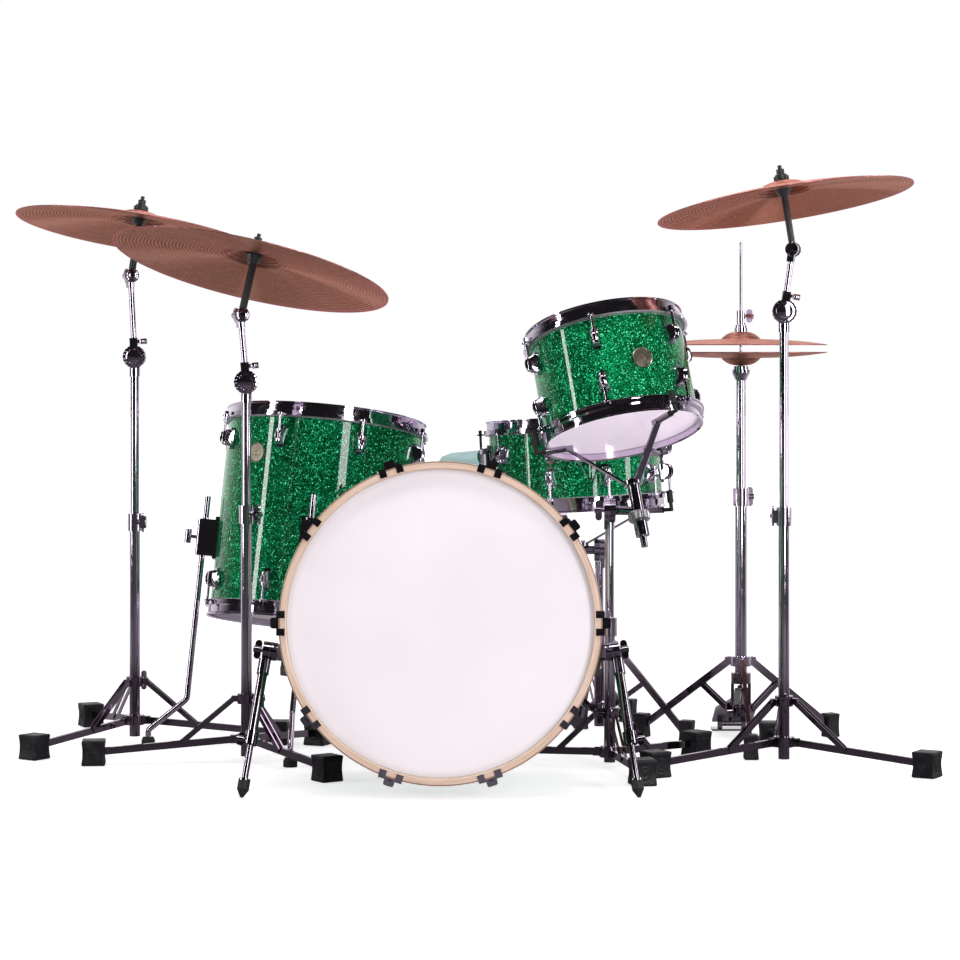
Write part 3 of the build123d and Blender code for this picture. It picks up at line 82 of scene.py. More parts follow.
front_hoop_rise = 0.021
hoop_spacing = 0.392
bass_rise = math.asin(front_hoop_rise / hoop_spacing)
axes = {
    "bass": (middle("bass_shell"), Vector((0, -math.cos(bass_rise), math.sin(bass_rise)))),
    "floor_tom": (middle("floor_tom_shell"), leaning(5.2, 9.0)),
    "rack_tom": (middle("rack_tom_shell"), leaning(-10.0, 18.0)),
    "snare": (middle("snare_shell"), leaning(-3.0, 2.0)),
    "ride": (hole("ride_cymbal_rock"), leaning(12.0, 12.0)),
    "left_crash": (hole("left_crash_cymbal_rock"), leaning(8.0, 7.5)),
    "right_crash": (hole("right_crash_cymbal_rock"), leaning(-8.4, 6.0)),
    "hihat": (middle("hihat_top_cymbal"), Vector((0, 0, 1)))}
for name, (centre, axis) in axes.items():
    print(name, [round(v, 3) for v in centre], [round(v, 3) for v in axis])

# %% [markdown]
# ## Shader maths as Python
# A material is a graph of nodes. Writing that graph as expressions keeps it readable, so one small
# class wraps a socket and turns each operator into a Math node. A second class makes the nodes, for
# materials and for the light of the room. A third one holds a material.

# %% Sockets that take part in expressions
class Value:
    """A socket in a graph. Arithmetic on it adds Math nodes."""

    def __init__(self, graph, socket):
        self.graph = graph
        self.socket = socket

    def math(self, operation, *values):
        return self.graph.node("ShaderNodeMath", {"operation": operation}, list(values))

    def __add__(self, other):
        return self.math("ADD", self, other)

    def __radd__(self, other):
        return self.math("ADD", other, self)

    def __sub__(self, other):
        return self.math("SUBTRACT", self, other)

    def __rsub__(self, other):
        return self.math("SUBTRACT", other, self)

    def __mul__(self, other):
        return self.math("MULTIPLY", self, other)

    def __truediv__(self, other):
        return self.math("DIVIDE", self, other)

    def __gt__(self, other):
        return self.math("GREATER_THAN", self, other)

    def __lt__(self, other):
        return self.math("LESS_THAN", self, other)

    def wave(self):
        return self.math("SINE", self)

    def size(self):
        return self.math("ABSOLUTE", self)

    def ramp(self, *stops):
        """A colour for each level, as (level, colour) stops."""
        return self.graph.node("ShaderNodeValToRGB", {"stops": stops}, [self])

    def between(self, low, high):
        """0 below low, 1 above high and smooth from one to the other."""
        return self.graph.node(
            "ShaderNodeMapRange", {"interpolation_type": "SMOOTHSTEP"},
            {"Value": self, "From Min": low, "From Max": high})


# %% Graphs of nodes
class Graph:
    """A tree of nodes, each made by one method."""

    def __init__(self, tree):
        self.tree = tree

    def node(self, kind, settings=None, values=None, output=0):
        """One output of a new node. Values feed its inputs, in order or by name."""
        made = self.tree.nodes.new(kind)
        for key, setting in (settings or {}).items():
            if key == "stops":
                ramp = made.color_ramp
                for level, colour in setting[len(ramp.elements):]:
                    ramp.elements.new(level)
                for element, (level, colour) in zip(ramp.elements, setting):
                    element.position = level
                    element.color = (*colour, 1)
            else:
                setattr(made, key, setting)
        pairs = values.items() if isinstance(values, dict) else enumerate(values or [])
        for key, value in pairs:
            self.feed(made.inputs[key], value)
        return Value(self, made.outputs[output])

    def feed(self, socket, value):
        """Links a Value to a socket, or sets the socket to a plain one."""
        if isinstance(value, Value):
            self.tree.links.new(value.socket, socket)
        else:
            socket.default_value = value

    def ray(self, kind):
        """1 for rays of one kind, such as Camera or Glossy, and 0 for others."""
        return self.node("ShaderNodeLightPath", output="Is " + kind + " Ray")

    def part(self, vector, letter):
        """The X, Y or Z of a vector."""
        return self.node("ShaderNodeSeparateXYZ", {}, [vector], letter)

    def vector(self, operation, *values, output=0):
        return self.node("ShaderNodeVectorMath", {"operation": operation}, list(values), output)

    def mix(self, factor, first, second):
        """A colour between two others."""
        first = first if isinstance(first, Value) else (*first, 1)
        second = second if isinstance(second, Value) else (*second, 1)
        return self.node("ShaderNodeMix", {"data_type": "RGBA"}, {0: factor, 6: first, 7: second}, 2)

    def noise(self, point, scale, detail=2.0, rough=0.5):
        return self.node("ShaderNodeTexNoise", {}, {
            "Vector": point, "Scale": scale, "Detail": detail, "Roughness": rough})

    def cells(self, point, scale, output="Distance"):
        return self.node("ShaderNodeTexVoronoi", {}, {"Vector": point, "Scale": scale}, output)


# %% Materials
class Finish(Graph):
    """A material, with the sockets of its Principled shader."""

    def __init__(self, name, **sockets):
        self.material = bpy.data.materials.new(name)
        self.material.use_nodes = True
        super().__init__(self.material.node_tree)
        self.shader = self.tree.nodes["Principled BSDF"]
        self.set(**sockets)

    def set(self, **sockets):
        """Feeds the shader's sockets, named with _ for each space."""
        for key, value in sockets.items():
            if key.endswith("Color") and not isinstance(value, Value):
                value = (*value, 1)
            self.feed(self.shader.inputs[key.replace("_", " ")], value)

    def fed(self, name):
        """The Value that already feeds one of the shader's sockets."""
        return Value(self, self.shader.inputs[name].links[0].from_socket)

    def point(self):
        return self.node("ShaderNodeTexCoord", output="Object")

    def bump(self, height, strength, distance=0.001):
        return self.node(
            "ShaderNodeBump", {}, {"Height": height, "Strength": strength, "Distance": distance})

    def about(self, name):
        """(distance from a named axis, level along it, the point from its middle)."""
        centre, axis = axes[name]
        away = self.vector("SUBTRACT", self.point(), centre)
        level = self.vector("DOT_PRODUCT", away, axis, output="Value")
        reach = self.vector("LENGTH", self.vector("CROSS_PRODUCT", away, axis), output="Value")
        return reach, level, away


def dress(finish, *names):
    """Gives nodes one material."""
    for name in names:
        for slot in nodes[name].material_slots:
            slot.material = finish.material


# %% [markdown]
# ## Sparkle wrap
# The shells are covered in a plastic wrap that holds thousands of tiny metal flakes under a clear
# gloss. Each cell of a Voronoi pattern is one flake. It gets its own shade and its own tilt, so some
# of them catch a lamp while the next stay dark green. A second pattern, of larger cells, picks the
# few places that flash: their flakes are paler and smoother and glow a little, a painted glint. A
# clear coat lies over them all.

# %% Green sparkle
black = (0.0, 0.0, 0.0)
flakes_per_metre = 820.0
flashes_per_metre = 560.0
flake_tilt = 0.8


def sparkle_wrap():
    finish = Finish(
        "green_sparkle", Specular_Tint=(0.2, 1.0, 0.5, 1.0), Metallic=0.7, Coat_Weight=1.0,
        Coat_Roughness=0.03)
    point = finish.point()
    flake = finish.cells(point, flakes_per_metre, "Color")
    shade = finish.vector("DOT_PRODUCT", flake, (0.6, 0.3, 0.1), output="Value")
    large = finish.cells(point, flashes_per_metre, "Color")
    large_shade = finish.vector("DOT_PRODUCT", large, (0.5, 0.2, 0.3), output="Value")
    patch = finish.noise(point, 30.0)
    body = (shade * 0.75 + patch * 0.25).ramp(
        (0.15, (0.0, 0.008, 0.002)), (0.47, (0.0, 0.065, 0.018)),
        (0.63, (0.0, 0.27, 0.08)), (0.8, (0.01, 0.75, 0.28)))
    glint = large_shade.between(0.76, 0.8)
    colour = finish.mix(glint * 0.8, body, (0.15, 1.0, 0.5))
    tilt = finish.vector("SUBTRACT", flake, (0.5, 0.5, 0.5))
    tilt = finish.vector("MULTIPLY", tilt, (flake_tilt, flake_tilt, flake_tilt))
    normal = finish.node("ShaderNodeNewGeometry", output="Normal")
    turned = finish.vector("NORMALIZE", finish.vector("ADD", normal, tilt))
    # Painted glint: where a flake flashes, it glows a little green, as if a lamp caught it.
    painted_glint_glow = finish.mix(glint, black, (0.05, 0.5, 0.24))
    finish.set(
        Base_Color=colour, Normal=turned, Roughness=0.34 - glint * 0.12, Emission_Color=painted_glint_glow,
        Emission_Strength=1.0)
    return finish


drum_radii = {"bass": 0.2795, "floor_tom": 0.203, "rack_tom": 0.1525, "snare": 0.178}
dress(sparkle_wrap(), *[drum + "_shell" for drum in drum_radii])
print("wrap on", len(drum_radii), "shells")

# %% [markdown]
# ## Chrome
# Hoops, lugs and tubes are chromed steel. A perfect mirror looks drawn, so the roughness wanders a
# little, as handling leaves it, and the colour is a faintly violet grey that keeps its reflections
# dark. On the stands' flat legs, near the floor, the chrome's colour is darker than on their tubes.
# Leg tips and the grips of the baskets are rubber in the same solids, so there a height, or a
# distance from the drum's axis, turns the chrome into rubber.

# %% Chrome and its relatives
bright_grey = (0.72, 0.64, 0.76)
dark_grey = (0.36, 0.32, 0.39)
worn_share = 0.78
darker_below_height = 0.13
full_colour_above_height = 0.19


def chrome(name, colour, roughness):
    finish = Finish(name, Metallic=1.0)
    point = finish.point()
    haze = finish.noise(point, 55.0, 4.0)
    smear = finish.noise(point, 9.0, 2.0)
    dull = tuple(channel * worn_share for channel in colour)
    finish.set(
        Base_Color=finish.mix(smear.between(0.45, 0.7) * 0.5, colour, dull),
        Roughness=roughness + haze.between(0.4, 0.75) * 0.1,
        Normal=finish.bump(finish.noise(point, 260.0, 2.0), 0.04, 0.0004))
    return finish


def rubbered(finish, where, colour, dullness):
    """Turns a finish into rubber where a Value is 1."""
    finish.set(
        Base_Color=finish.mix(where, finish.fed("Base Color"), colour), Metallic=1.0 - where,
        Roughness=finish.fed("Roughness") + where * dullness)
    return finish


def tipped(name, colour, roughness, tip):
    """Chrome whose stretch below a height is a rubber tip."""
    finish = chrome(name, colour, roughness)
    below = finish.part(finish.point(), "Z") < tip
    return rubbered(finish, below, (0.015, 0.015, 0.016), 0.45)


def gripping(name, drum, grip):
    """Dark chrome arms whose ends, beyond a distance from a drum's axis, are rubber grips."""
    finish = chrome(name, dark_grey, 0.07)
    reach = finish.about(drum)[0]
    return rubbered(finish, reach > grip, (0.012, 0.011, 0.013), 0.4)


def legs_finish():
    """Chrome whose colour is darker below a height, on the flat legs and braces near the floor."""
    finish = chrome("leg_chrome_darker_low", bright_grey, 0.05)
    # Darker below a height, near the floor.
    low = 1.0 - finish.part(finish.point(), "Z").between(darker_below_height, full_colour_above_height)
    finish.set(Base_Color=finish.mix(low * 0.9, finish.fed("Base Color"), (0.2, 0.15, 0.2)))
    return finish


# %% Chrome on the drums
bright = chrome("chrome", bright_grey, 0.04)
dark_chrome = chrome("dark_chrome", dark_grey, 0.07)
leg_tip_height = 0.0192
spur_tip_height = 0.0345
tom_grip_reach = 0.1575
snare_grip_reach = 0.1835
dress(
    bright, "floor_tom_lugs", "rack_tom_lugs", "snare_lugs", "snare_strainer", "snare_strainer_lever",
    "floor_tom_hoops", "rack_tom_hoops", "snare_hoops", "bass_lugs_and_claws", "floor_tom_brackets",
    "snare_wires")
dress(
    tipped("leg_chrome", (0.6, 0.54, 0.64), 0.05, leg_tip_height),
    "floor_tom_leg_1", "floor_tom_leg_2", "floor_tom_leg_3")
dress(
    tipped("spur_chrome", (0.4, 0.36, 0.42), 0.07, spur_tip_height),
    "bass_spur_left", "bass_spur_right")
dress(gripping("tom_basket_finish", "rack_tom", tom_grip_reach), "tom_basket")
dress(gripping("snare_basket_finish", "snare", snare_grip_reach), "snare_basket")
dress(dark_chrome, "bass_spur_brackets")
print("grips start at", tom_grip_reach, "and", snare_grip_reach)

# %% Plating on the stands
alloy = chrome("cast_alloy", (0.3, 0.29, 0.32), 0.22)
plated = legs_finish()
stands = ["hihat_rod", "throne_base", "throne_post"]
stands += [name for name in nodes if name.endswith(("_stand_base", "_stand_post", "_stand_boom"))]
for name in stands:
    dress(plated if name.endswith("_base") else bright, name)
dress(alloy, "kick_footboard", "kick_pedal_frame", "kick_beater", "hihat_footboard")
print("plating on", len(stands), "nodes of the stands")

# %% [markdown]
# ## Bronze cymbals
# A cymbal is cast, rolled, hammered and then turned on a lathe. The lathe leaves rings about a
# millimetre apart and broader bands, broken where a hammer blow dipped the metal. Both follow the
# distance from the cymbal's own axis. Paler wedges fan out round that axis: painted highlights, as
# light falls on turned metal. The bell is darker from handling, and the rim is redder.

# %% Lathed bronze
# The two sets of rings are sine waves, in radians for each metre from the axis.
fine_rings = 5200.0
broad_rings = 900.0
bell_share = 0.235
cymbal_radii = {"ride": 0.2795, "left_crash": 0.254, "right_crash": 0.254, "hihat": 0.178}


def bronze(name, axis_name, edge):
    finish = Finish(name, Metallic=1.0, Specular_Tint=(0.9, 0.62, 0.55, 1.0))
    reach, _, away = finish.about(axis_name)
    wander = finish.noise(away, 38.0, 3.0)
    fine = (reach * fine_rings + wander * 5.0).wave()
    broad = (reach * broad_rings + wander * 4.0).wave()
    hammer = finish.cells(away, 62.0)
    ring = fine * 0.4 + broad * 0.4 + 0.5
    tone = finish.mix(ring, (0.1, 0.032, 0.02), (0.72, 0.38, 0.28))
    around = finish.vector("NORMALIZE", away)
    # Painted highlights: paler wedges fan out round the axis, as light on turned metal.
    painted_highlight_wedge = finish.noise(around, 1.7, 1.0).between(0.42, 0.66)
    tone = finish.mix(painted_highlight_wedge * 0.55, tone, (0.95, 0.6, 0.46))
    blush = finish.noise(away, 5.0, 2.0).between(0.35, 0.7)
    tone = finish.mix(blush * 0.4, tone, (0.62, 0.26, 0.24))
    bell = reach < edge * bell_share
    rim = (reach / edge).between(0.93, 1.0)
    tone = finish.mix(bell * 0.45, tone, (0.3, 0.12, 0.09))
    tone = finish.mix(rim * 0.5, tone, (0.7, 0.26, 0.32))
    finish.set(
        Base_Color=tone, Roughness=0.24 + hammer * 0.16 + (1.0 - ring) * 0.1,
        Normal=finish.bump(ring * 0.5 + hammer * 1.6, 0.45, 0.0012))
    return finish


for cymbal, radius in cymbal_radii.items():
    shown = [name for name in nodes if name.startswith(cymbal) and name.endswith("_cymbal")]
    dress(bronze(cymbal + "_bronze", cymbal, radius), *shown)
    print("bronze on", *shown)

# %% [markdown]
# ## Maple hoops
# The bass drum's hoops are bent from thin maple plies. Their grain runs round the hoop, so the noise
# is read in the distance from the axis, the level along it and the angle round it. A thin dark line
# runs round the face.

# %% Maple
inlay_radius = 0.2935
inlay_half_width = 0.0011


def maple():
    finish = Finish("maple", Coat_Weight=0.35, Coat_Roughness=0.2)
    reach, level, away = finish.about("bass")
    side = finish.part(away, "X")
    angle = side.math("ARCTAN2", finish.part(away, "Z"), side)
    grain_point = finish.node("ShaderNodeCombineXYZ", {}, [reach * 260.0, level * 260.0, angle * 2.2])
    grain = finish.noise(grain_point, 1.0, 5.0, 0.6)
    figure = finish.noise(away, 16.0, 2.0)
    tone = (grain * 0.75 + figure * 0.25).ramp(
        (0.25, (0.52, 0.35, 0.24)), (0.5, (0.68, 0.5, 0.39)), (0.75, (0.78, 0.62, 0.51)))
    line = (reach - inlay_radius).size() < inlay_half_width
    tone = finish.mix(line * 0.75, tone, (0.16, 0.08, 0.03))
    finish.set(Base_Color=tone, Roughness=0.38 + grain * 0.12, Normal=finish.bump(grain, 0.12, 0.0006))
    return finish


dress(maple(), "bass_hoops")
print("maple on the bass hoops")

# %% [markdown]
# ## Heads
# A coated head is polyester film sprayed with a rough white layer, speckled by the spray and a
# little cloudy. Near its rim it is greyer, a painted shadow of the hoop. Beyond the film is its metal
# flesh hoop. The rack tom's lower head has no coating. It is clear film that lets the light from
# above through, so a faint painted glow is added to it, and the level along the drum's axis picks it
# out. Near its rim the same painted shadow darkens the film and dims the glow.

# %% Coated and clear heads
film_edge = 1.012
clear_head_level = -0.02


def coated_head(name, axis_name, radius, clear_below):
    finish = Finish(name, Coat_Weight=0.05)
    reach, level, away = finish.about(axis_name)
    spray = finish.noise(away, 900.0, 2.0)
    cloud = finish.noise(away, 3.5, 2.0)
    # Painted shadow of the hoop: the share near the rim that greys the head and darkens the clear film.
    rim = (reach / radius).between(0.955, 1.0)
    tone = finish.mix(cloud.between(0.3, 0.75), (0.86, 0.83, 0.87), (0.81, 0.78, 0.82))
    tone = finish.mix(rim * 0.35, tone, (0.6, 0.6, 0.6))
    metal = (reach / radius) > film_edge
    tone = finish.mix(metal, tone, (0.5, 0.5, 0.52))
    rough = 0.55 + spray * 0.12
    if clear_below:
        below = level < clear_head_level
        film = finish.mix(rim * 0.6, (0.84, 0.76, 0.86), (0.3, 0.42, 0.42))
        tone = finish.mix(below, tone, film)
        rough = rough - below * 0.4
        glow = finish.mix(below * (1.0 - rim * 0.5), black, (0.42, 0.34, 0.42))
        finish.set(Emission_Color=glow, Emission_Strength=1.0)
    finish.set(Base_Color=tone, Roughness=rough, Metallic=metal, Normal=finish.bump(spray, 0.12, 0.0004))
    return finish


for drum, radius in drum_radii.items():
    dress(coated_head(drum + "_head", drum, radius, drum == "rack_tom"), drum + "_heads")
print("heads on", len(drum_radii), "drums")

# %% [markdown]
# ## Rubber and nylon
# Stand feet are moulded rubber, a little dusty in patches and gritty close up. The tilters under the
# cymbals are black, with a fine grain and a thin gloss, like moulded nylon.

# %% Rubber and black nylon
def rubber():
    finish = Finish("rubber")
    point = finish.point()
    dust = finish.noise(point, 40.0, 4.0).between(0.45, 0.75)
    grit = finish.noise(point, 700.0, 2.0)
    finish.set(
        Base_Color=finish.mix(dust * 0.35, (0.007, 0.006, 0.009), (0.05, 0.046, 0.05)),
        Roughness=0.45 + dust * 0.25, Normal=finish.bump(grit, 0.3, 0.0006))
    return finish


def tilter_parts():
    finish = Finish("tilter_nylon", Coat_Weight=0.3, Coat_Roughness=0.2)
    point = finish.point()
    grain = finish.noise(point, 500.0, 2.0)
    finish.set(
        Base_Color=finish.mix(grain.between(0.3, 0.7), (0.014, 0.014, 0.016), (0.04, 0.04, 0.044)),
        Roughness=0.32 + grain * 0.15, Normal=finish.bump(grain, 0.12, 0.0005))
    return finish


cymbal_stands = ("ride", "left_crash", "right_crash")
dress(rubber(), "rubber_feet")
dress(tilter_parts(), *[stand + "_tilter" for stand in cymbal_stands])
print("rubber on the feet, nylon on", len(cymbal_stands), "tilters")

# %% [markdown]
# ## Helpers for new pieces
# New pieces are made with bmesh. Each is shaped at the origin, then its mesh is moved to its place,
# so that its object stays at the origin as the solid model's objects do.

# %% Make a piece
def piece(name, mesh_code, place, finish, body, smooth=30.0):
    """A new object from a bmesh, moved to its place and riding on a body."""
    shape = bmesh.new()
    mesh_code(shape)
    bmesh.ops.remove_doubles(shape, verts=shape.verts[:], dist=1e-6)
    bmesh.ops.recalc_face_normals(shape, faces=shape.faces[:])
    shape.transform(place)
    mesh = bpy.data.meshes.new(name)
    shape.to_mesh(mesh)
    shape.free()
    mesh.materials.append(finish.material)
    made = bpy.data.objects.new(name, mesh)
    bpy.context.scene.collection.objects.link(made)
    for polygon in mesh.polygons:
        polygon.use_smooth = True
    mesh.set_sharp_from_angle(angle=math.radians(smooth))
    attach(made, body)
    return made


def facing(origin, z_axis, x_axis=(1, 0, 0)):
    """A matrix at origin whose Z runs along z_axis and whose X is near x_axis."""
    z = Vector(z_axis).normalized()
    y = z.cross(Vector(x_axis)).normalized()
    x = y.cross(z)
    return Matrix.Translation(origin) @ Matrix((x, y, z)).transposed().to_4x4()


def turn_profile(shape, points, steps=64):
    """Spins a line of (radius, height) points about Z into a closed skin."""
    verts = [shape.verts.new((radius, 0, height)) for radius, height in points]
    edges = [shape.edges.new(pair) for pair in zip(verts, verts[1:])]
    bmesh.ops.spin(
        shape, geom=verts + edges, cent=(0, 0, 0), axis=(0, 0, 1), angle=math.tau, steps=steps,
        use_merge=True)


# %% [markdown]
# ## Stand feet
# Each foot is a moulded block. Its sides are a little hollow and carry raised rings, and its edges
# are round. The solid model has plain blocks, and each new one is fitted inside one of them. The way
# a block is turned is found by trying every degree until the box round it is smallest. A ringed cube
# of that size then takes its place.

# %% Ringed rubber feet
weld_distance = 0.00002


def islands(mesh, weld=False):
    """The separate parts of a mesh, as lists of points. Welding joins the faces of one solid."""
    shape = bmesh.new()
    shape.from_mesh(mesh)
    if weld:
        bmesh.ops.remove_doubles(shape, verts=shape.verts[:], dist=weld_distance)
    left = set(shape.verts)
    parts = []
    while left:
        part = [left.pop()]
        for vert in part:
            for edge in vert.link_edges:
                other = edge.other_vert(vert)
                if other in left:
                    left.remove(other)
                    part.append(other)
        parts.append([vert.co.copy() for vert in part])
    shape.free()
    return parts


def tight_box(points):
    """(middle, half sizes, turn) of the smallest upright box round some points."""
    best = None
    for degrees in range(90):
        turn = math.radians(degrees)
        along = [p.x * math.cos(turn) + p.y * math.sin(turn) for p in points]
        across = [p.y * math.cos(turn) - p.x * math.sin(turn) for p in points]
        half = ((max(along) - min(along)) / 2, (max(across) - min(across)) / 2)
        if best is None or half[0] * half[1] < best[1][0] * best[1][1]:
            mid = (max(along) + min(along)) / 2, (max(across) + min(across)) / 2
            best = (mid, half, turn)
    (u, v), half, turn = best
    low = min(p.z for p in points)
    high = max(p.z for p in points)
    x = u * math.cos(turn) - v * math.sin(turn)
    y = u * math.sin(turn) + v * math.cos(turn)
    return Vector((x, y, (low + high) / 2)), Vector((*half, (high - low) / 2)), turn


def cube_grid(steps):
    """(corners, faces) of a cube from -1 to 1 whose six sides are grids."""
    corners = {}
    faces = []
    for fixed in range(3):
        first, second = [i for i in range(3) if i != fixed]
        for side in (0, steps):
            for a in range(steps):
                for b in range(steps):
                    face = []
                    for u, v in ((a, b), (a + 1, b), (a + 1, b + 1), (a, b + 1)):
                        key = [0, 0, 0]
                        key[fixed], key[first], key[second] = side, u, v
                        face.append(corners.setdefault(tuple(key), len(corners)))
                    faces.append(face)
    return [Vector(key) * (2 / steps) - Vector((1, 1, 1)) for key in corners], faces


# %% The shape of a foot, as a cube from -1 to 1
ring_depth = 0.08
ring_count = 3.5
side_hollow = 0.08
round_start = 0.8
round_pull = 1.6
on_face = 0.999
foot_steps = 18


def foot_point(point):
    """Where a point of the plain cube goes on the ringed one."""
    sides = sorted(abs(value) for value in point)
    place = point * (1.0 - max(0.0, sides[1] - round_start) ** 2 * round_pull)
    if abs(point.z) < on_face:
        across = point.y if abs(point.x) > on_face else point.x
        reach = min(1.0, math.hypot(across, point.z))
        ring = (0.5 - 0.5 * math.cos(reach * ring_count * math.tau)) * (1.0 - reach ** 6)
        hollow = side_hollow * (1.0 - point.z ** 2) + ring_depth * (1.0 - ring) * (1.0 - reach ** 6)
        place.x *= 1.0 - hollow
        place.y *= 1.0 - hollow
    return place


foot_corners, foot_faces = cube_grid(foot_steps)
foot_skin = [foot_point(corner) for corner in foot_corners]


def ringed_foot(shape, centre, half, turn):
    """One block with hollow sides and raised rings, inside its box."""
    turned = Matrix.Rotation(turn, 3, "Z")
    verts = []
    for point in foot_skin:
        inside = Vector(a * b for a, b in zip(point, half))
        verts.append(shape.verts.new(turned @ inside + centre))
    for corners in foot_faces:
        shape.faces.new([verts[i] for i in corners])


foot_blocks = islands(nodes["rubber_feet"].data, weld=True)


def stand_feet(shape):
    for points in foot_blocks:
        ringed_foot(shape, *tight_box(points))


feet = piece("stand_feet", stand_feet, Matrix(), rubber(), "kit", 50.0)
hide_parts("rubber_feet")
print("feet", len(foot_blocks))

# %% [markdown]
# ## Badges
# Each tom carries a small round metal badge with a vent hole in its middle. These are left bare: a
# disc with a raised rim. A shell bends so little under one that a flat disc sits well on it.

# %% Badges on the toms
badge_radius = 0.0205
badge_seat = 0.0008
gilt = chrome("badge_metal", (0.62, 0.55, 0.42), 0.28)


def badge(shape):
    """A disc with a raised rim and an eyelet round its vent hole, turned about Z."""
    turn_profile(shape, [
        (0.0, -badge_seat), (badge_radius, -badge_seat), (badge_radius, 0.0014), (0.0196, 0.002),
        (0.0186, 0.0014), (0.0182, 0.001), (0.0062, 0.001), (0.0056, 0.0018), (0.0046, 0.0018),
        (0.0042, -0.0002), (0.0, -0.0002)], 48)


def on_shell(name, radius, angle, level):
    """A matrix on a drum's shell, Z outward, at an angle round it and a level from its middle."""
    centre, axis = axes[name]
    side = (Vector((1, 0, 0)) - axis * axis.x).normalized()
    back = axis.cross(side)
    out = side * math.cos(math.radians(angle)) + back * math.sin(math.radians(angle))
    return facing(centre + out * radius + axis * level, out, side)


drum_bodies = {"rack_tom": "rack_tom", "floor_tom": "kit", "snare": "snare"}
# For each badge: its angle round the drum and its level from the drum's middle.
badge_places = {"rack_tom": (-71.0, -0.006), "floor_tom": (-128.0, 0.112)}
for drum, (angle, level) in badge_places.items():
    place = on_shell(drum, drum_radii[drum] + badge_seat, angle, level)
    piece(drum + "_badge", badge, place, gilt, drum_bodies[drum])
    print("badge on", drum)

# %% [markdown]
# ## Lug casings
# Each tension rod runs into a chromed casing with fins along it. The solid model has only the plain
# body inside a casing, and the length of that body tells it from the rods and screws. A casing is a
# bulging sheet of points: its height falls to nothing at its edges, and a cosine across it makes the
# fins.

# %% Finned casings
casing_half_tall = 0.0185
casing_half_wide = 0.0115
casing_rise = 0.0262
casing_lift = 0.0004
casing_rows = 16
casing_columns = 18
fin_count = 2
fin_depth = 0.1
plain_margin = 0.76
margin_height = 0.97
casing_taper = 0.16


def casing_height(along, across):
    """How far a casing stands off the shell, from 0 to 1, at a place from -1 to 1 each way."""
    bulge = (1.0 - abs(along) ** 2.6) ** 0.42 * (1.0 - abs(across) ** 3.0) ** 0.45
    fins = 1.0 - fin_depth * (0.5 + 0.5 * math.cos(across * math.tau * fin_count))
    return bulge * (fins if abs(across) < plain_margin else margin_height)


def casing(shape, place, rod_side):
    """One casing, narrower on the side away from its rod."""
    grid = []
    for row in range(casing_rows + 1):
        along = 2.0 * row / casing_rows - 1.0
        narrow = 1.0 - casing_taper + casing_taper * along * rod_side
        line = []
        for column in range(casing_columns + 1):
            across = 2.0 * column / casing_columns - 1.0
            point = Vector((
                along * casing_half_tall, across * casing_half_wide * narrow,
                casing_lift + casing_rise * casing_height(along, across)))
            line.append(shape.verts.new(place @ point))
        grid.append(line)
    for low, high in zip(grid, grid[1:]):
        for a, b, c, d in zip(low, low[1:], high[1:], high):
            shape.faces.new((a, b, c, d))
    right = [line[-1] for line in grid[1:-1]]
    left = [line[0] for line in grid[-2:0:-1]]
    shape.faces.new(grid[0] + right + grid[-1][::-1] + left)


# %% A casing for every lug
lug_body_tall = (0.025, 0.027)
lug_body_points = 90


def lug_places(name):
    """(matrix on the shell, rod side) of each lug, from the plain bodies in the solid lugs."""
    centre, axis = axes[name]
    radius = drum_radii[name]
    places = []
    for points in islands(nodes[name + "_lugs"].data):
        levels = [(p - centre).dot(axis) for p in points]
        tall = max(levels) - min(levels)
        if not lug_body_tall[0] < tall < lug_body_tall[1] or len(points) < lug_body_points:
            continue
        level = (max(levels) + min(levels)) / 2
        away = sum(points, Vector()) / len(points) - centre
        out = (away - axis * away.dot(axis)).normalized()
        on_drum = facing(centre + out * radius + axis * level, out, axis)
        places.append((on_drum, 1.0 if level > 0 else -1.0))
    return places


def casings(places):
    """Mesh code for a casing at each place."""
    def code(shape):
        for place, rod_side in places:
            casing(shape, place, rod_side)
    return code


for drum, body in drum_bodies.items():
    places = lug_places(drum)
    piece(drum + "_lug_casings", casings(places), Matrix(), bright, body, 40.0)
    print(drum, "casings", len(places))

# %% [markdown]
# ## The pedal's spring
# The kick pedal's spring is a plain tube in the solid model. Its wire is wound round that tube here:
# rings of points follow a helix, and each ring is joined to the next.

# %% Pedal spring
wire_radius = 0.0011
wire_sides = 6
coil_turns = 17
coil_steps = 14
coil_end_gap = 0.002


def span(points):
    """The lowest and highest corner of a box round some points."""
    low = Vector([min(p[i] for p in points) for i in range(3)])
    high = Vector([max(p[i] for p in points) for i in range(3)])
    return low, high


def coil(shape, centre, radius, low, high):
    """A wire wound about an upright line."""
    count = coil_turns * coil_steps
    rings = []
    for step in range(count + 1):
        angle = math.tau * step / coil_steps
        out = Vector((math.cos(angle), math.sin(angle), 0))
        level = low + (high - low) * step / count
        ring = []
        for side in range(wire_sides):
            turn = math.tau * side / wire_sides
            point = out * (radius + wire_radius * math.cos(turn))
            height = Vector((0, 0, level + wire_radius * math.sin(turn)))
            ring.append(shape.verts.new(centre + point + height))
        rings.append(ring)
    for first, second in zip(rings, rings[1:]):
        for side in range(wire_sides):
            follow = (side + 1) % wire_sides
            shape.faces.new((first[side], first[follow], second[follow], second[side]))
    shape.faces.new(rings[0])
    shape.faces.new(rings[-1])


spring_least_tall = 0.1
spring_most_wide = 0.018


def spring_tube():
    """(middle, radius, low, high) of the widest slim upright part of the pedal's frame."""
    best = (0.0, None)
    for points in islands(nodes["kick_pedal_frame"].data):
        low, high = span(points)
        wide = high.x - low.x
        if high.z - low.z > spring_least_tall and best[0] < wide < spring_most_wide:
            best = (wide, ((low + high) / 2, wide / 2, low.z, high.z))
    return best[1]


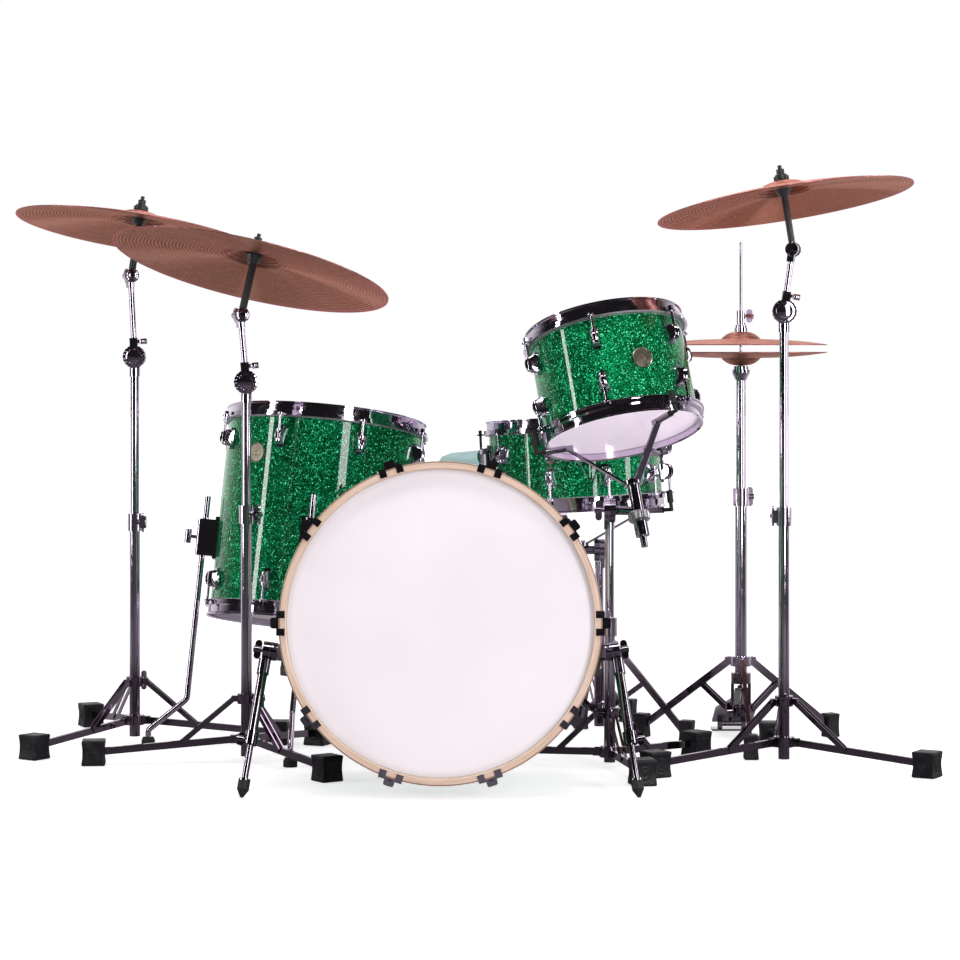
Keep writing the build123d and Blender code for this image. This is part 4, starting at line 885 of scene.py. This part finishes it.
spring_middle, spring_radius, spring_low, spring_high = spring_tube()
spring_foot = Vector((spring_middle.x, spring_middle.y, 0))


def pedal_coil(shape):
    coil(shape, spring_foot, spring_radius, spring_low + coil_end_gap, spring_high - coil_end_gap)


piece("kick_pedal_coil", pedal_coil, Matrix(), bright, "kit", 60.0)
print("coil", round(spring_radius, 4), round(spring_high - spring_low, 3))

# %% [markdown]
# ## Cast caps on the ratchets
# Each cymbal stand has a ratchet where its boom turns and a smaller one under the cymbal. Their
# outer faces are domed castings with a ring of teeth. The joint says where each one turns.

# %% Ratchet caps
tooth_depth = 0.06
cap_rise = 0.34
cap_sink = 0.0004


def cut_teeth(shape, beyond, depth):
    """Draws the points beyond a radius inward, by the share that depth gives for their angle."""
    for vert in shape.verts:
        if math.hypot(vert.co.x, vert.co.y) > beyond:
            notch = 1.0 - depth(math.atan2(vert.co.y, vert.co.x))
            vert.co.x *= notch
            vert.co.y *= notch


def toothed_cap(radius, height, teeth):
    """Mesh code for a dome with a ring of teeth round its foot."""
    def code(shape):
        turn_profile(shape, [
            (0.0, -cap_sink), (radius, -cap_sink), (radius, height * 0.3), (radius * 0.86, height * 0.42),
            (radius * 0.82, height * 0.3), (radius * 0.7, height * 0.34), (radius * 0.62, height * 0.8),
            (radius * 0.38, height * 0.97), (0.0, height)], teeth * 4)
        cut_teeth(shape, radius * 0.84, lambda angle: tooth_depth * max(0.0, math.cos(angle * teeth)))
    return code


# For each ratchet: its joint, the cap's foot from the joint, its radius, teeth, body and finish.
ratchets = (
    ("boom_swing", 0.011, 0.0238, 18, "boom", bright),
    ("tilt", 0.009, 0.0145, 12, "tilt", dark_chrome))
for stand in cymbal_stands:
    for joint, foot, radius, teeth, body, finish in ratchets:
        turning = joints[stand + "_" + joint]
        outward = -Vector(turning["axis"]).normalized()
        place = facing(Vector(turning["pos_m"]) + outward * foot, outward, (0, 0, 1))
        cap = toothed_cap(radius, radius * cap_rise, teeth)
        piece(stand + "_" + joint + "_cap", cap, place, finish, stand + "_" + body)
print("caps on", len(cymbal_stands) * len(ratchets), "ratchets")

# %% [markdown]
# ## The knob under the tom basket
# A basket's arms close round the drum when a knurled knob under its hub is screwed in. The part of
# the basket's mesh with the most points is at that hub. The knob stands at its lower end, along the
# drum's axis, and its knurling is a cosine round its side.

# %% Knurled knob
knob_radius = 0.0215
knob_tall = 0.02
knob_bevel = 0.003
knob_end_share = 0.86
knob_overlap = 0.002
knurl_count = 30
knurl_depth = 0.025
hub_half_share = 0.48
satin = chrome("satin_metal", (0.62, 0.6, 0.64), 0.3)


def knob(shape):
    turn_profile(shape, [
        (0.0, 0.0), (knob_radius * knob_end_share, 0.0), (knob_radius, knob_bevel),
        (knob_radius, knob_tall - knob_bevel), (knob_radius * knob_end_share, knob_tall),
        (0.0, knob_tall)], knurl_count * 4)
    cut_teeth(shape, knob_radius * 0.9, lambda angle: knurl_depth * (1.0 + math.cos(angle * knurl_count)))


hub_low, hub_high = span(max(islands(nodes["tom_basket"].data), key=len))
hub_axis = axes["rack_tom"][1]
hub_end = (hub_low + hub_high) / 2 - hub_axis * ((hub_high.z - hub_low.z) * hub_half_share)
piece("tom_basket_knob", knob, facing(hub_end - hub_axis * knob_overlap, hub_axis), satin, "rack_tom")
print("knob at", [round(v, 3) for v in hub_end])

# %% [markdown]
# ## The padded seat
# The drummer's seat is foam under a pale cover, crowned in the middle, with a welt round its upper
# edge. Its skin is a turned outline. The steel plate and socket under it are turned as well.

# %% Seat cover and plate
# The weave is a sine wave along X and along Y, in radians for each metre.
weave_rate = 3600.0


def cover_finish():
    finish = Finish("seat_cover", Sheen_Weight=0.3)
    point = finish.point()
    weave = (finish.part(point, "X") * weave_rate).wave() * (finish.part(point, "Y") * weave_rate).wave()
    cloud = finish.noise(point, 12.0, 3.0)
    finish.set(
        Base_Color=finish.mix(cloud.between(0.3, 0.75), (0.5, 0.72, 0.7), (0.36, 0.58, 0.58)),
        Roughness=0.75 + weave * 0.08, Normal=finish.bump(weave * 0.4 + cloud, 0.3, 0.0012))
    return finish


seat_low, seat_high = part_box("throne_seat")
seat_middle = middle("throne_seat")
seat_radius = (seat_high.x - seat_low.x) / 2
seat_tall = 0.082
under_gap = 0.0005
welt_radius = 0.0032
socket_radius = 0.0185
seat_steps = 96
cover = cover_finish()


def cushion(shape):
    top = seat_high.z
    under = top - seat_tall
    turn_profile(shape, [
        (0.0, under + under_gap), (seat_radius - 0.02, under + under_gap),
        (seat_radius - 0.008, under + 0.006), (seat_radius - 0.002, top - 0.058),
        (seat_radius - 0.0005, top - 0.044), (seat_radius - 0.003, top - 0.029),
        (seat_radius - 0.012, top - 0.014), (seat_radius - 0.032, top - 0.006),
        (seat_radius * 0.5, top - 0.001), (0.0, top)], seat_steps)
    bmesh.ops.subdivide_edges(shape, edges=shape.edges[:], cuts=1, use_grid_fill=True, smooth=0.0)


def welt(shape):
    upright = Matrix.Rotation(math.pi / 2, 4, "X")
    start = Matrix.Translation((seat_radius - 0.0035, 0, seat_high.z - 0.029))
    bmesh.ops.create_circle(shape, segments=10, radius=welt_radius, matrix=start @ upright)
    bmesh.ops.spin(
        shape, geom=shape.verts[:] + shape.edges[:], cent=(0, 0, 0), axis=(0, 0, 1), angle=math.tau,
        steps=seat_steps, use_merge=True)


def seat_plate(shape):
    level = seat_high.z - seat_tall
    turn_profile(shape, [
        (0.0, level), (seat_radius * 0.6, level), (seat_radius * 0.6, level - 0.003),
        (seat_radius * 0.57, level - 0.006), (0.03, level - 0.006), (socket_radius, level - 0.012),
        (socket_radius, seat_low.z), (0.0, seat_low.z)])


seat_place = Matrix.Translation((seat_middle.x, seat_middle.y, 0))
seat = piece("seat_cushion", cushion, seat_place, cover, "throne_top", 60.0)
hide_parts("throne_seat")
piece("seat_welt", welt, seat_place, cover, "throne_top", 60.0)
piece("seat_plate", seat_plate, seat_place, bright, "throne_top")
print("seat", round(seat_radius, 3))

# %% [markdown]
# ## Floor and room
# The floor and backdrop are plain and pale, and look white to the camera. Chrome shows what is round
# it, and in a white room it would be white. A little light comes from all round.

# %% Pale floor
floor_half = 30.0
floor_drop = 0.001
floor_pale = (0.82, 0.82, 0.82)
floor_reflected = (0.05, 0.04, 0.055)


def pale_floor():
    finish = Finish("pale_floor", Roughness=0.9, Emission_Color=(1.0, 1.0, 1.0))
    glossy = finish.ray("Glossy")
    point = finish.point()
    far = finish.vector("LENGTH", point, output="Value").between(1.2, 4.5)
    behind = finish.part(point, "Y").between(-0.8, 1.6)
    finish.set(
        Base_Color=finish.mix(glossy, floor_pale, floor_reflected),
        Emission_Strength=finish.ray("Camera") * (0.66 + far * 0.4) + glossy * (0.03 + behind * 0.6))
    return finish


floor_shape = bmesh.new()
bmesh.ops.create_grid(floor_shape, x_segments=1, y_segments=1, size=floor_half)
floor_mesh = bpy.data.meshes.new("floor")
floor_shape.to_mesh(floor_mesh)
floor_shape.free()
floor_mesh.materials.append(pale_floor().material)
floor = bpy.data.objects.new("floor", floor_mesh)
floor.location = (0, 0, -floor_drop)
bpy.context.scene.collection.objects.link(floor)
print("floor", 2 * floor_half, "metres wide")

# %% Room
room_dark = 0.012
room_ambient = 0.24
world = bpy.data.worlds.new("studio")
bpy.context.scene.world = world
world.use_nodes = True
air = Graph(world.node_tree)
behind_kit = air.part(air.node("ShaderNodeTexCoord", output="Generated"), "Y").between(0.1, 0.95)
reflected = behind_kit * (1.0 - room_dark) + room_dark
glossy = air.ray("Glossy")
seen = air.ray("Camera")
unseen = glossy * reflected + (1.0 - glossy) * room_ambient
background = world.node_tree.nodes["Background"]
air.feed(background.inputs["Color"], (1, 1, 1, 1))
air.feed(background.inputs["Strength"], seen + (1.0 - seen) * unseen)
print("room", len(world.node_tree.nodes), "nodes")

# %% [markdown]
# ## Lamps
# Most of the light comes from soft rectangular lamps. Tall ones at the sides and in front give the
# shells and tubes their long upright highlights. A wide one high in front lights the heads and
# cymbals, one behind it lights the drums from above, and two low ones fill the shadows without
# showing in the chrome.

# %% Lamps
def lamp(name, place, aim, width, height, power, tint=(1, 1, 1), glossy=True):
    """A soft lamp at a place, facing an aim. Its power is in watts."""
    data = bpy.data.lights.new(name, "AREA")
    data.shape = "RECTANGLE"
    data.size = width
    data.size_y = height
    data.energy = power
    data.color = tint
    made = bpy.data.objects.new(name, data)
    made.location = place
    made.rotation_euler = (Vector(aim) - Vector(place)).to_track_quat("-Z", "Y").to_euler()
    made.visible_glossy = glossy
    bpy.context.scene.collection.objects.link(made)


lamp("left", (-3.0, -1.3, 1.2), (0, 0, 0.6), 0.3, 2.0, 22.0)
lamp("strip", (1.5, -3.3, 1.15), (0, 0, 0.6), 0.6, 2.0, 34.0)
lamp("right", (3.4, -1.0, 1.3), (0.2, 0, 0.6), 0.5, 2.0, 26.0)
lamp("front", (0.0, -2.0, 3.9), (0, 0, 0.5), 2.6, 0.9, 52.0)
lamp("fill", (0.0, -4.6, 1.6), (0, 0, 0.6), 2.6, 1.0, 12.0, glossy=False)
lamp("low", (0.2, -3.2, 0.3), (0, 0, 0.9), 2.4, 0.5, 9.0, (1.0, 0.8, 0.92), glossy=False)
lamp("top", (0.3, 0.9, 3.0), (0.1, 0, 0.5), 2.4, 1.0, 30.0, (1.0, 0.9, 0.98))
print("lamps", len(bpy.data.lights))

# %% [markdown]
# ## Camera
# The camera looks level along +Y from the audience's side, at about the height of the hi-hat. It
# stands far back with a long lens, so that the drums keep their true shapes. The lens is shifted down
# instead of tilting the camera, so that the stands' upright tubes stay upright.

# %% Camera at the viewer's place
viewer_distance = 5.4
viewer_height = 0.821
viewer_side = 0.072
camera_data = bpy.data.cameras.new("camera")
camera_data.sensor_width = 36.0
camera_data.lens = 111.6
camera_data.shift_y = -0.1375
camera = bpy.data.objects.new("camera", camera_data)
kit_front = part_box("bass_hoops")[0].y
camera.location = (axes["bass"][0].x + viewer_side, kit_front - viewer_distance, viewer_height)
camera.rotation_euler = (math.radians(90), 0, 0)
bpy.context.scene.collection.objects.link(camera)
bpy.context.scene.camera = camera
bpy.context.scene.view_settings.view_transform = "Standard"
print("camera at", [round(v, 3) for v in camera.location])

# %% Update the scene
bpy.context.view_layer.update()
